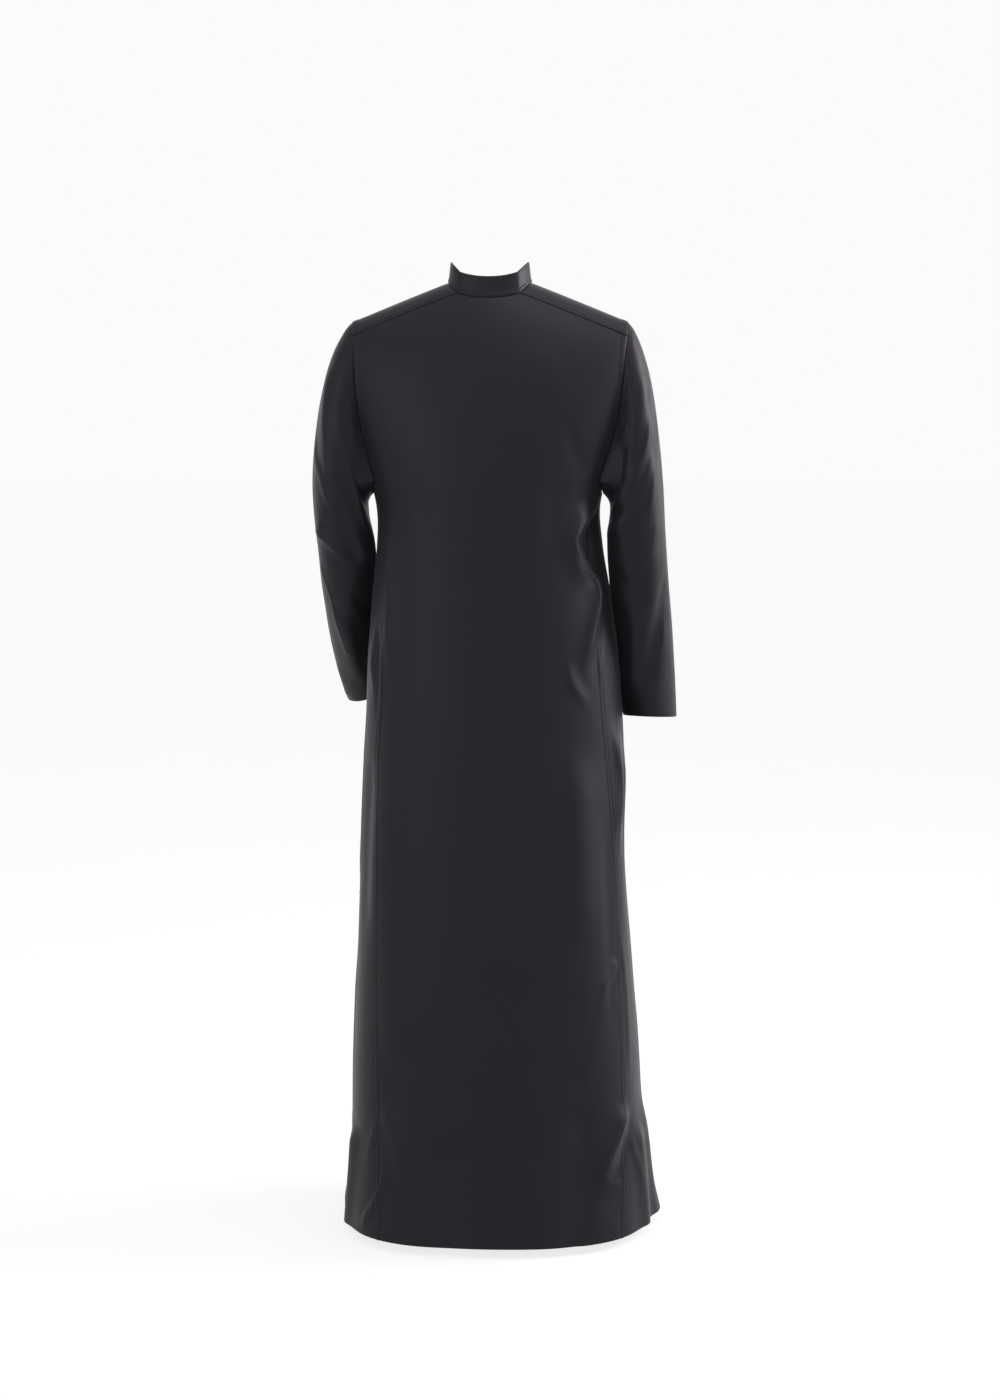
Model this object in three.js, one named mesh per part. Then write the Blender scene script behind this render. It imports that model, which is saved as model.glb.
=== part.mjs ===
// Kandura: an ankle-length robe with long straight sleeves, in its worn shape and hollow.
// Millimetres. +X is the wearer's left, the front faces -Y and up is +Z.
// The origin is the middle of the neck opening, level with the shoulder line beside the neck.
// Every panel is a grid of points on the outside of the cloth. Neighbours share the points of
// their seam, so that the cloth wall, laid inwards from the points, meets at one mitre there.
import * as THREE from 'three';

// ---------------------------------------------------------------- cloth and seams
const WALL = 1.8;
const SEAM_GAP = 0.32;
const LAID_GAP = 0.35;
const BAND_WALL = 1.4;
const STEEPEST_MITRE = 0.5;

// ---------------------------------------------------------------- heights
const HEM_Z = -1460;
const SIDE_SEAM_TOP_Z = -300;
const UNDERARM_DROP = 22;
const ARCH_START_Z = -330;
const ARCH_POWER = 2.2;

// ---------------------------------------------------------------- shoulders and neck
const SHOULDER_SLOPE = 0.414;
const SHOULDER_SOFTENING = 30;
const NECK_HALF_WIDTH = 64;
const NECK_BACK_CORNER_X = 47;
const NECK_FRONT_CORNER_X = 51;
const NECK_BACK_Z = -23;
const NECK_FRONT_Z = -76;
const YOKE_DROP_BACK = 22;
const YOKE_DROP_FRONT = 38;
const COLLAR_HEIGHT = 32;
const COLLAR_LEAN = 0.12;
const NECK_MIDDLE_Y = -12;
const NECKLINE_POWER = 2.2;

// ---------------------------------------------------------------- front opening
const SLIT_HALF_WIDTH = 1.5;
const PLACKET_HALF_WIDTH = 17;
const BUTTON_RADIUS = 5.5;
const BUTTON_THICKNESS = 2.4;
const BUTTON_ROWS = [1, 3, 5, 7];
const BUTTON_SEAT_GAP = 0.5;
const SLIT_LOWER_ROWS = 1;

// ---------------------------------------------------------------- left side pocket
// Rows of the gores between which the side seam is left open, and how far its edges stand apart.
const POCKET_MOUTH_ROWS = { top: 8, bottom: 11 };
const POCKET_MOUTH_GAPE = 5;
const POCKET_BAG_ROWS = { top: 7, bottom: 12 };
const POCKET_BAG_COLUMNS = 3;
const POCKET_BAG_WALL = 1.2;

// Girth of the body by height: half widths to the wearer's left and right, and depths from the
// middle to the back and the front. Above the shoulders' arch the widths only guide the curve.
const BODY = [
  { z: 20, left: 262, right: 262, back: 112, front: 112, power: 2.4 },
  { z: -75, left: 250, right: 250, back: 116, front: 121, power: 2.4 },
  { z: -200, left: 216, right: 215, back: 122, front: 131, power: 2.4 },
  { z: -330, left: 178, right: 172, back: 127, front: 137, power: 2.4 },
  { z: -400, left: 174, right: 173, back: 129, front: 140, power: 2.4 },
  { z: -480, left: 178, right: 184, back: 133, front: 144, power: 2.4 },
  { z: -600, left: 187, right: 198, back: 142, front: 150, power: 2.4 },
  { z: -750, left: 195, right: 208, back: 156, front: 160, power: 2.4 },
  { z: -950, left: 205, right: 218, back: 174, front: 174, power: 2.45 },
  { z: -1150, left: 212, right: 232, back: 192, front: 188, power: 2.5 },
  { z: -1280, left: 215, right: 239, back: 203, front: 197, power: 2.6 },
  { z: -1370, left: 218, right: 245, back: 211, front: 202, power: 2.65 },
  { z: -1460, left: 223, right: 250, back: 220, front: 208, power: 2.7 },
];

// Where the back and front panels end, as a share of the half width: the armhole above the side
// seams' top, and the long seams to the side gores below it.
const PANEL_EDGES = [
  { z: -50, backLeft: 0.835, backRight: 0.835, front: 0.835 },
  { z: -110, backLeft: 0.86, backRight: 0.86, front: 0.86 },
  { z: -160, backLeft: 0.897, backRight: 0.897, front: 0.893 },
  { z: -220, backLeft: 0.93, backRight: 0.93, front: 0.92 },
  { z: -300, backLeft: 0.935, backRight: 0.935, front: 0.93 },
  { z: -450, backLeft: 0.91, backRight: 0.91, front: 0.9 },
  { z: -600, backLeft: 0.88, backRight: 0.885, front: 0.88 },
  { z: -750, backLeft: 0.885, backRight: 0.9, front: 0.88 },
  { z: -950, backLeft: 0.845, backRight: 0.93, front: 0.86 },
  { z: -1150, backLeft: 0.815, backRight: 0.9, front: 0.84 },
  { z: -1300, backLeft: 0.785, backRight: 0.885, front: 0.82 },
  { z: -1460, backLeft: 0.75, backRight: 0.855, front: 0.79 },
];

// Sleeve sections from the armhole to the cuff: the point farthest from the body, the point
// nearest to it, and half the section's depth across them.
const SLEEVE_LEFT = [
  { outX: 207, outY: 0, outZ: -58, inX: 180, inY: 0, inZ: -322, half: 64 },
  { outX: 222, outY: 0, outZ: -74, inX: 186, inY: 0, inZ: -328, half: 69 },
  { outX: 240, outY: 0, outZ: -104, inX: 190, inY: 0, inZ: -340, half: 72 },
  { outX: 255, outY: 1, outZ: -148, inX: 188, inY: -1, inZ: -358, half: 74 },
  { outX: 268, outY: 4, outZ: -212, inX: 183, inY: -3, inZ: -380, half: 74 },
  { outX: 275, outY: 9, outZ: -290, inX: 181, inY: -7, inZ: -406, half: 71 },
  { outX: 273, outY: 10, outZ: -356, inX: 182, inY: -16, inZ: -434, half: 66 },
  { outX: 267, outY: -4, outZ: -416, inX: 184, inY: -32, inZ: -464, half: 61 },
  { outX: 264, outY: -42, outZ: -482, inX: 182, inY: -60, inZ: -502, half: 57 },
  { outX: 259, outY: -86, outZ: -548, inX: 177, inY: -94, inZ: -548, half: 54 },
  { outX: 252, outY: -126, outZ: -606, inX: 170, inY: -126, inZ: -588, half: 51 },
  { outX: 245, outY: -152, outZ: -644, inX: 165, inY: -146, inZ: -616, half: 49 },
];
const SLEEVE_RIGHT = [
  { outX: -207, outY: 0, outZ: -58, inX: -176, inY: 0, inZ: -322, half: 64 },
  { outX: -220, outY: 0, outZ: -74, inX: -182, inY: 0, inZ: -328, half: 69 },
  { outX: -235, outY: 0, outZ: -104, inX: -186, inY: 0, inZ: -340, half: 72 },
  { outX: -248, outY: 0, outZ: -148, inX: -185, inY: 0, inZ: -360, half: 74 },
  { outX: -258, outY: 1, outZ: -212, inX: -182, inY: 0, inZ: -386, half: 74 },
  { outX: -267, outY: 2, outZ: -300, inX: -183, inY: 0, inZ: -420, half: 70 },
  { outX: -272, outY: 2, outZ: -380, inX: -187, inY: 0, inZ: -458, half: 65 },
  { outX: -277, outY: -1, outZ: -452, inX: -191, inY: -3, inZ: -500, half: 61 },
  { outX: -283, outY: -7, outZ: -524, inX: -197, inY: -9, inZ: -546, half: 57 },
  { outX: -287, outY: -14, outZ: -588, inX: -202, inY: -16, inZ: -594, half: 54 },
  { outX: -290, outY: -20, outZ: -634, inX: -206, inY: -21, inZ: -636, half: 52 },
  { outX: -292, outY: -23, outZ: -662, inX: -209, inY: -24, inZ: -660, half: 51 },
];

// Folds of the body: x and z of three points on the back or front, or y and z on a side, then the
// fold's half width and its height. A negative height is a trough.
const BODY_FOLDS = [
  { on: 'back', from: [-172, -326], via: [-129, -392], to: [-164, -468], width: 15, height: 7 },
  { on: 'back', from: [-168, -350], via: [-157, -400], to: [-172, -446], width: 12, height: -5 },
  { on: 'back', from: [-160, -442], via: [-167, -506], to: [-147, -604], width: 13, height: 6 },
  { on: 'back', from: [-140, -700], via: [-148, -860], to: [-144, -1040], width: 32, height: 5 },
  { on: 'back', from: [-182, -800], via: [-188, -960], to: [-194, -1180], width: 13, height: -2 },
  { on: 'back', from: [-210, -1248], via: [-197, -1312], to: [-166, -1376], width: 17, height: 7 },
  { on: 'back', from: [-150, -1240], via: [-146, -1350], to: [-138, -1580], width: 26, height: -5 },
  { on: 'back', from: [152, -345], via: [150, -470], to: [149, -615], width: 17, height: 5 },
  { on: 'back', from: [150, -900], via: [146, -1050], to: [140, -1200], width: 30, height: 4 },
  { on: 'back', from: [160, -1256], via: [136, -1300], to: [114, -1388], width: 20, height: 6 },
  { on: 'back', from: [60, -1290], via: [58, -1380], to: [60, -1580], width: 40, height: -4 },
  { on: 'right', from: [60, -660], via: [62, -760], to: [80, -860], width: 13, height: 6 },
  { on: 'right', from: [20, -760], via: [10, -960], to: [0, -1180], width: 30, height: -4 },
  { on: 'right', from: [84, -1290], via: [76, -1390], to: [66, -1600], width: 22, height: 8 },
  { on: 'right', from: [44, -1310], via: [34, -1400], to: [26, -1600], width: 18, height: -8 },
  { on: 'right', from: [-16, -1325], via: [-36, -1800], to: [-76, -2300], width: 34, height: 34 },
  { on: 'right', from: [-104, -1200], via: [-112, -1330], to: [-120, -1580], width: 26, height: -8 },
  { on: 'left', from: [70, -700], via: [74, -860], to: [96, -1040], width: 22, height: -4 },
  { on: 'left', from: [92, -1300], via: [86, -1390], to: [78, -1600], width: 22, height: 8 },
  { on: 'left', from: [50, -1320], via: [42, -1400], to: [34, -1600], width: 18, height: -6 },
  { on: 'left', from: [-8, -1370], via: [-14, -1520], to: [-24, -1700], width: 32, height: 9 },
  { on: 'left', from: [-100, -1180], via: [-108, -1320], to: [-116, -1580], width: 26, height: -8 },
  { on: 'front', from: [-154, -332], via: [-128, -400], to: [-140, -500], width: 17, height: 7 },
  { on: 'front', from: [152, -336], via: [124, -396], to: [136, -490], width: 17, height: 7 },
  { on: 'front', from: [-120, -180], via: [-104, -250], to: [-100, -340], width: 22, height: 4 },
  { on: 'front', from: [118, -190], via: [100, -262], to: [96, -350], width: 22, height: 4 },
  { on: 'front', from: [-130, -560], via: [-140, -760], to: [-146, -980], width: 26, height: 6 },
  { on: 'front', from: [126, -540], via: [134, -740], to: [138, -960], width: 26, height: 6 },
  { on: 'front', from: [-92, -1060], via: [-100, -1260], to: [-108, -1580], width: 34, height: 10 },
  { on: 'front', from: [84, -1040], via: [92, -1250], to: [104, -1580], width: 34, height: 10 },
  { on: 'front', from: [-8, -980], via: [-4, -1220], to: [2, -1580], width: 46, height: -8 },
  { on: 'front', from: [-168, -1150], via: [-172, -1300], to: [-174, -1580], width: 26, height: -7 },
  { on: 'front', from: [164, -1160], via: [168, -1310], to: [166, -1580], width: 26, height: -7 },
];

// Folds of the sleeves: share of the way from armhole to cuff, and degrees round the section
// from its outermost point, with 90 at the back and -90 at the front.
const SLEEVE_FOLDS_LEFT = [
  { from: [0.2, 20], via: [0.36, 46], to: [0.5, 84], width: 13, height: 6 },
  { from: [0.3, 96], via: [0.42, 118], to: [0.5, 150], width: 13, height: -5 },
  { from: [0.5, 30], via: [0.55, 80], to: [0.56, 128], width: 11, height: -7 },
  { from: [0.58, -10], via: [0.62, 40], to: [0.64, 96], width: 11, height: 5 },
  { from: [0.46, -60], via: [0.52, -100], to: [0.58, -150], width: 12, height: -7 },
  { from: [0.6, -80], via: [0.62, -110], to: [0.66, -150], width: 11, height: 5 },
  { from: [0.7, 60], via: [0.8, 76], to: [0.93, 70], width: 13, height: 4 },
  { from: [0.7, -60], via: [0.8, -74], to: [0.92, -66], width: 13, height: 4 },
];
const SLEEVE_FOLDS_RIGHT = [
  { from: [0.16, 100], via: [0.26, 112], to: [0.42, 104], width: 11, height: -6 },
  { from: [0.18, 40], via: [0.36, 48], to: [0.56, 52], width: 17, height: 5 },
  { from: [0.46, 170], via: [0.52, 120], to: [0.54, 76], width: 11, height: -7 },
  { from: [0.55, 168], via: [0.6, 130], to: [0.61, 84], width: 11, height: 5 },
  { from: [0.6, 20], via: [0.72, 60], to: [0.9, 100], width: 14, height: -5 },
  { from: [0.62, 100], via: [0.76, 120], to: [0.92, 140], width: 14, height: 5 },
  { from: [0.2, -100], via: [0.32, -110], to: [0.46, -106], width: 13, height: -5 },
  { from: [0.48, -150], via: [0.53, -110], to: [0.55, -60], width: 12, height: -6 },
  { from: [0.62, -30], via: [0.74, -60], to: [0.9, -84], width: 14, height: 4 },
];
const SLEEVE_FOLD_START = 0.12;

const FOLD_TAPER = 3.5;
const SLEEVE_POWER = 2.3;
const OVAL_FROM = 0.32;

// ---------------------------------------------------------------- how finely the cloth is cut
const LOWER_ROWS = 20;
const UPPER_ROWS = 7;
const GORE_COLUMNS = 6;
const SHOULDER_SHARES = [0, 0.28, 0.5, 0.69, 0.85, 1];
const YOKE_COLUMNS = 6;
const SLEEVE_ROWS = 16;
const COLLAR_ROWS = 2;
const BUTTON_SIDES = 16;
const FOLD_SAMPLES = 9;
const SETTLING_PASSES = 6;
const AXIS_STEP = 0.03;
const SAME_POINT = 0.001;

// ---------------------------------------------------------------- colours
const CLOTH = { color: 0x27252a, roughness: 0.72, metalness: 0 };
const BUTTON = { color: 0x1b1a1d, roughness: 0.35, metalness: 0 };

// ================================================================ reading the tables

// Smooth value of one column of a table at a given place along its key column.
function tableValue(table, key, column, place) {
  const descending = table[0][key] > table[table.length - 1][key];
  const rows = descending ? [...table].reverse() : table;
  const last = rows.length - 1;
  const clamped = Math.min(Math.max(place, rows[0][key]), rows[last][key]);
  let i = 0;
  while (i < last - 1 && clamped > rows[i + 1][key]) {
    i += 1;
  }
  const slopeAt = (k) => {
    const before = rows[Math.max(k - 1, 0)];
    const after = rows[Math.min(k + 1, last)];
    return (after[column] - before[column]) / (after[key] - before[key]);
  };
  const span = rows[i + 1][key] - rows[i][key];
  const t = (clamped - rows[i][key]) / span;
  const start = rows[i][column];
  const end = rows[i + 1][column];
  const startSlope = slopeAt(i) * span;
  const endSlope = slopeAt(i + 1) * span;
  const t2 = t * t;
  const t3 = t2 * t;
  return (2 * t3 - 3 * t2 + 1) * start + (t3 - 2 * t2 + t) * startSlope
    + (3 * t2 - 2 * t3) * end + (t3 - t2) * endSlope;
}

const mix = (a, b, t) => a + (b - a) * t;

const smoothStep = (t) => {
  const c = Math.min(Math.max(t, 0), 1);
  return c * c * (3 - 2 * c);
};

// ================================================================ the body's surface

// Height of the shoulder ridge at a distance from the middle.
function ridgeHeight(x) {
  const softened = Math.hypot(x, SHOULDER_SOFTENING);
  const atNeck = Math.hypot(NECK_HALF_WIDTH, SHOULDER_SOFTENING);
  return SHOULDER_SLOPE * (atNeck - softened);
}

const neckCornerX = (isBack) => (isBack ? NECK_BACK_CORNER_X : NECK_FRONT_CORNER_X);

const yokeDrop = (isBack) => (isBack ? YOKE_DROP_BACK : YOKE_DROP_FRONT);

const halfWidth = (x, z) => tableValue(BODY, 'z', x < 0 ? 'right' : 'left', z);

const girthPower = (z) => tableValue(BODY, 'z', 'power', z);

// Point of the body with the given x and height, on the back or the front.
function bodyPoint(x, z, isBack) {
  const depth = tableValue(BODY, 'z', isBack ? 'back' : 'front', z);
  const power = girthPower(z);
  const across = Math.min(Math.abs(x) / halfWidth(x, z), 1);
  const round = Math.pow(1 - Math.pow(across, power), 1 / power);
  const rise = Math.min(Math.max((z - ARCH_START_Z) / (ridgeHeight(x) - ARCH_START_Z), 0), 1);
  const arch = Math.pow(1 - Math.pow(rise, ARCH_POWER), 1 / ARCH_POWER);
  return new THREE.Vector3(x, (isBack ? 1 : -1) * depth * round * arch, z);
}

// Distance from the middle to a panel's edge at a height.
function edgeX(isBack, isLeft, z) {
  const column = isBack ? (isLeft ? 'backLeft' : 'backRight') : 'front';
  return tableValue(PANEL_EDGES, 'z', column, z) * halfWidth(isLeft ? 1 : -1, z);
}

// Where the armhole crosses the shoulder strip: across runs from -1 at its back seam, over the
// ridge at 0, to 1 at its front seam.
function yokeArmholeX(across, isLeft) {
  const isBack = across < 0;
  let x = edgeX(isBack, isLeft, ridgeHeight(NECK_HALF_WIDTH));
  for (let pass = 0; pass < SETTLING_PASSES; pass += 1) {
    x = edgeX(isBack, isLeft, yokeHeight(x, across));
  }
  return x;
}

// Height of the shoulder strip, which drops on both sides of the ridge.
function yokeHeight(x, across) {
  return ridgeHeight(x) - yokeDrop(across < 0) * across * across;
}

// Distance from the middle to the shoulder strip's neck end.
function yokeNeckX(across) {
  return mix(NECK_HALF_WIDTH, neckCornerX(across < 0), across * across);
}

// Top edge of the back or front panel at a distance from the middle: neckline, then yoke seam.
function panelTopZ(x, isBack) {
  const corner = neckCornerX(isBack);
  const distance = Math.abs(x);
  if (distance >= corner) {
    return ridgeHeight(distance) - yokeDrop(isBack);
  }
  const cornerZ = ridgeHeight(corner) - yokeDrop(isBack);
  const middleZ = isBack ? NECK_BACK_Z : NECK_FRONT_Z;
  return mix(middleZ, cornerZ, Math.pow(distance / corner, NECKLINE_POWER));
}

// ================================================================ panels as grids of points
// A grid is a list of rows of points. Rows run down or outwards, and columns so that a column
// step crossed with a row step points out of the cloth.

// Columns of a panel as millimetres from the middle along its top edge, on one side.
function columnsAtTop(isBack, isLeft) {
  const corner = neckCornerX(isBack);
  const armhole = yokeArmholeX(isBack ? -1 : 1, isLeft);
  const neckline = isBack
    ? [0, corner / 2]
    : [SLIT_HALF_WIDTH, PLACKET_HALF_WIDTH, mix(PLACKET_HALF_WIDTH, corner, 0.5)];
  return [...neckline, ...SHOULDER_SHARES.map((share) => mix(corner, armhole, share))];
}

// Distance from the middle of a column at a height. The placket's columns keep their distance.
function columnX(topX, isBack, isLeft, z) {
  const inner = isBack ? 0 : PLACKET_HALF_WIDTH;
  if (topX <= inner) {
    return topX;
  }
  const armhole = yokeArmholeX(isBack ? -1 : 1, isLeft);
  return mix(inner, edgeX(isBack, isLeft, z), (topX - inner) / (armhole - inner));
}

// Half of a panel's rows, from the middle outwards: upper rows beside the armhole, lower rows
// down to the hem.
function halfPanel(isBack, isLeft) {
  const side = isLeft ? 1 : -1;
  const columns = columnsAtTop(isBack, isLeft);
  const armholeZ = yokeHeight(columns[columns.length - 1], isBack ? -1 : 1);
  const points = [];
  for (let row = 0; row < UPPER_ROWS; row += 1) {
    const share = row / UPPER_ROWS;
    const edgeZ = mix(armholeZ, SIDE_SEAM_TOP_Z, share);
    points.push(columns.map((topX) => {
      const z = mix(panelTopZ(topX, isBack), SIDE_SEAM_TOP_Z, share);
      return bodyPoint(side * columnX(topX, isBack, isLeft, edgeZ), z, isBack);
    }));
  }
  for (let row = 0; row <= LOWER_ROWS; row += 1) {
    const z = mix(SIDE_SEAM_TOP_Z, HEM_Z, row / LOWER_ROWS);
    points.push(columns.map((topX) => (
      bodyPoint(side * columnX(topX, isBack, isLeft, z), z, isBack)
    )));
  }
  return points;
}

function panelGrid(isBack) {
  const left = halfPanel(isBack, true);
  const right = halfPanel(isBack, false);
  return left.map((leftRow, row) => {
    const rightRow = isBack ? right[row].slice(1) : right[row];
    const rightToLeft = [...rightRow.reverse(), ...leftRow];
    return isBack ? rightToLeft : rightToLeft.reverse();
  });
}

// Side gore between a panel's long seam and the side seam. Its top is the armhole's underside.
function goreGrid(isLeft, isBack) {
  const side = isLeft ? 1 : -1;
  const points = [];
  for (let row = 0; row <= LOWER_ROWS; row += 1) {
    const line = [];
    for (let column = 0; column <= GORE_COLUMNS; column += 1) {
      const turn = column / GORE_COLUMNS;
      const topZ = SIDE_SEAM_TOP_Z - UNDERARM_DROP * Math.sin(turn * Math.PI / 2);
      const z = mix(topZ, HEM_Z, row / LOWER_ROWS);
      const wide = halfWidth(side, z);
      const power = girthPower(z);
      const seamAngle = Math.asin(Math.pow(edgeX(isBack, isLeft, z) / wide, power / 2));
      const angle = mix(seamAngle, Math.PI / 2, turn);
      line.push(bodyPoint(side * wide * Math.pow(Math.sin(angle), 2 / power), z, isBack));
    }
    points.push(isLeft === isBack ? line : line.reverse());
  }
  return points;
}

// Shoulder strip: rows from the neck to the armhole, columns from one long seam to the other.
function yokeGrid(isLeft) {
  const side = isLeft ? 1 : -1;
  return SHOULDER_SHARES.map((share) => {
    const line = [];
    for (let column = 0; column <= YOKE_COLUMNS; column += 1) {
      const across = mix(-1, 1, column / YOKE_COLUMNS);
      const x = mix(yokeNeckX(across), yokeArmholeX(across, isLeft), share);
      line.push(bodyPoint(side * x, yokeHeight(x, across), across < 0));
    }
    return isLeft ? line : line.reverse();
  });
}

// ================================================================ folds

// Point of the body's side at a distance behind the middle (positive) or before it.
function sidePoint(y, z, isLeft) {
  const depth = tableValue(BODY, 'z', y > 0 ? 'back' : 'front', z);
  const along = Math.min(Math.abs(y) / depth, 1);
  const round = Math.pow(1 - Math.pow(along, girthPower(z)), 1 / girthPower(z));
  const side = isLeft ? 1 : -1;
  return new THREE.Vector3(side * halfWidth(side, z) * round, y, z);
}

function foldedPlace(on, across, z) {
  if (on === 'left' || on === 'right') {
    return sidePoint(across, z, on === 'left');
  }
  return bodyPoint(across, z, on === 'back');
}

// A fold's crest as a line of points on the unfolded cloth.
function foldCrest(fold, placeAt) {
  const crest = [];
  for (let sample = 0; sample < FOLD_SAMPLES; sample += 1) {
    const t = sample / (FOLD_SAMPLES - 1);
    const weights = [(1 - t) * (1 - 2 * t), 4 * t * (1 - t), t * (2 * t - 1)];
    const [first, second] = [0, 1].map((i) => (
      weights[0] * fold.from[i] + weights[1] * fold.via[i] + weights[2] * fold.to[i]
    ));
    crest.push(placeAt(first, second));
  }
  return { crest, width: fold.width, height: fold.height };
}

// How far a point of the unfolded cloth rises: each fold is a soft ridge that tapers at its ends.
function foldRise(point, folds) {
  let rise = 0;
  const nearest = new THREE.Vector3();
  folds.forEach(({ crest, width, height }) => {
    let least = Infinity;
    let place = 0;
    for (let i = 0; i < crest.length - 1; i += 1) {
      const segment = new THREE.Line3(crest[i], crest[i + 1]);
      const t = segment.closestPointToPointParameter(point, true);
      const distance = segment.at(t, nearest).distanceTo(point);
      if (distance < least) {
        least = distance;
        place = (i + t) / (crest.length - 1);
      }
    }
    const taper = smoothStep(FOLD_TAPER * Math.min(place, 1 - place));
    rise += height * taper * Math.exp(-Math.pow(least / width, 2));
  });
  return rise;
}

// ================================================================ sleeves

// The frame of a sleeve's section at a share of the way from armhole to cuff.
function sleeveSection(stations, side, at) {
  const read = (place, names) => new THREE.Vector3(
    ...names.map((name) => tableValue(stations, 'at', name, place)),
  );
  const middleAt = (place) => read(place, ['outX', 'outY', 'outZ'])
    .add(read(place, ['inX', 'inY', 'inZ'])).multiplyScalar(0.5);
  const outer = read(at, ['outX', 'outY', 'outZ']);
  const inner = read(at, ['inX', 'inY', 'inZ']);
  const middle = middleAt(at);
  const along = middleAt(Math.min(at + AXIS_STEP, 1)).sub(middleAt(Math.max(at - AXIS_STEP, 0)));
  const outward = outer.clone().sub(inner).normalize();
  const backward = outward.clone().cross(along).normalize().multiplyScalar(side);
  return {
    middle,
    outward,
    backward,
    onward: backward.clone().cross(outward).multiplyScalar(side),
    wide: outer.distanceTo(inner) / 2,
    deep: tableValue(stations, 'at', 'half', at),
  };
}

// Point round a section, at an angle from its outermost point, with 90 degrees at the back.
function sectionPoint(section, angle) {
  const rounded = (value) => Math.sign(value) * Math.pow(Math.abs(value), 2 / SLEEVE_POWER);
  return section.middle.clone()
    .addScaledVector(section.outward, section.wide * rounded(Math.cos(angle)))
    .addScaledVector(section.backward, section.deep * rounded(Math.sin(angle)));
}

// Sleeve from the armhole's own points, through shapes that turn into ovals, to the cuff.
function sleeveGrid(table, isLeft, armhole, folds) {
  const side = isLeft ? 1 : -1;
  const stations = table.map((row, i) => ({ ...row, at: i / (table.length - 1) }));
  const first = sleeveSection(stations, side, 0);
  const corners = armhole.map((point, column) => {
    const offset = point.clone().sub(first.middle);
    const u = offset.dot(first.outward) / first.wide;
    const v = offset.dot(first.backward) / first.deep;
    const even = side * (Math.PI - 2 * Math.PI * column / armhole.length);
    const turns = Math.round((even - Math.atan2(v, u)) / (2 * Math.PI));
    return { u, v, w: offset.dot(first.onward), even, own: Math.atan2(v, u) + turns * 2 * Math.PI };
  });
  const crests = folds.map((fold) => foldCrest(fold, (at, degrees) => (
    sectionPoint(sleeveSection(stations, side, at), THREE.MathUtils.degToRad(degrees))
  )));
  const points = [armhole.map((point) => point.clone())];
  for (let row = 1; row <= SLEEVE_ROWS; row += 1) {
    const at = row / SLEEVE_ROWS;
    const section = sleeveSection(stations, side, at);
    const oval = smoothStep(at / OVAL_FROM);
    points.push(corners.map((corner) => {
      const round = sectionPoint(section, mix(corner.own, corner.even, oval));
      const carried = section.middle.clone()
        .addScaledVector(section.outward, corner.u * section.wide)
        .addScaledVector(section.backward, corner.v * section.deep)
        .addScaledVector(section.onward, corner.w * (1 - oval));
      const place = carried.lerp(round, oval);
      const out = place.clone().sub(section.middle).normalize();
      const rise = foldRise(place, crests) * smoothStep(at / SLEEVE_FOLD_START);
      return place.addScaledVector(out, rise);
    }));
  }
  return points;
}

// ================================================================ cloth walls

const pointKey = (point) => [point.x, point.y, point.z]
  .map((value) => Math.round(value / SAME_POINT)).join();

// Corners of each quad of a grid, in turn, as [row, column] pairs.
function gridQuads(grid) {
  const { points, closed = false, isCut = () => false } = grid;
  const width = points[0].length;
  const quads = [];
  for (let row = 0; row < points.length - 1; row += 1) {
    for (let column = 0; column < (closed ? width : width - 1); column += 1) {
      const next = (column + 1) % width;
      if (!isCut(row, column)) {
        quads.push([[row, column], [row, next], [row + 1, next], [row + 1, column]]);
      }
    }
  }
  return quads;
}

// Mean outward direction at each point of all grids together. Its length tells how sharply the
// cloth bends there, which lengthens the mitre.
function sharedNormals(grids) {
  const sums = new Map();
  grids.forEach((grid) => {
    gridQuads(grid).forEach((quad) => {
      const [a, b, c, d] = quad.map(([row, column]) => grid.points[row][column]);
      const normal = c.clone().sub(a).cross(b.clone().sub(d)).normalize().negate();
      [a, b, c, d].forEach((point) => {
        const key = pointKey(point);
        const sum = sums.get(key) ?? { total: new THREE.Vector3(), count: 0 };
        sum.total.add(normal);
        sum.count += 1;
        sums.set(key, sum);
      });
    });
  });
  return (point) => {
    const { total, count } = sums.get(pointKey(point));
    const bend = Math.max(total.length() / count, STEEPEST_MITRE);
    return total.clone().normalize().divideScalar(bend);
  };
}

// Points of a grid moved out along the shared normals by the same distance.
function movedOut(points, normalAt, distance) {
  return points.map((row) => row.map((point) => (
    point.clone().addScaledVector(normalAt(point), distance)
  )));
}

// How far each border point draws back, so that neighbours stay parted at their seam. Where the
// cloth bends sharply there, its longer mitre draws back more.
function seamRetreat(points, closed, row, column, mitre) {
  const here = points[row][column];
  const shift = new THREE.Vector3();
  const drawTowards = (neighbour) => {
    shift.add(neighbour.clone().sub(here).setLength(mitre * SEAM_GAP / 2));
  };
  if (row === 0) {
    drawTowards(points[1][column]);
  }
  if (row === points.length - 1) {
    drawTowards(points[row - 1][column]);
  }
  if (!closed && column === 0) {
    drawTowards(points[row][1]);
  }
  if (!closed && column === points[0].length - 1) {
    drawTowards(points[row][column - 1]);
  }
  return shift;
}

// One order for the two ends of a seam's edge, so that both sides split its end face alike.
function isHigher(a, b) {
  if (Math.abs(a.z - b.z) > SAME_POINT) {
    return a.z > b.z;
  }
  return Math.abs(a.x - b.x) > SAME_POINT ? a.x > b.x : a.y > b.y;
}

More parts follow.
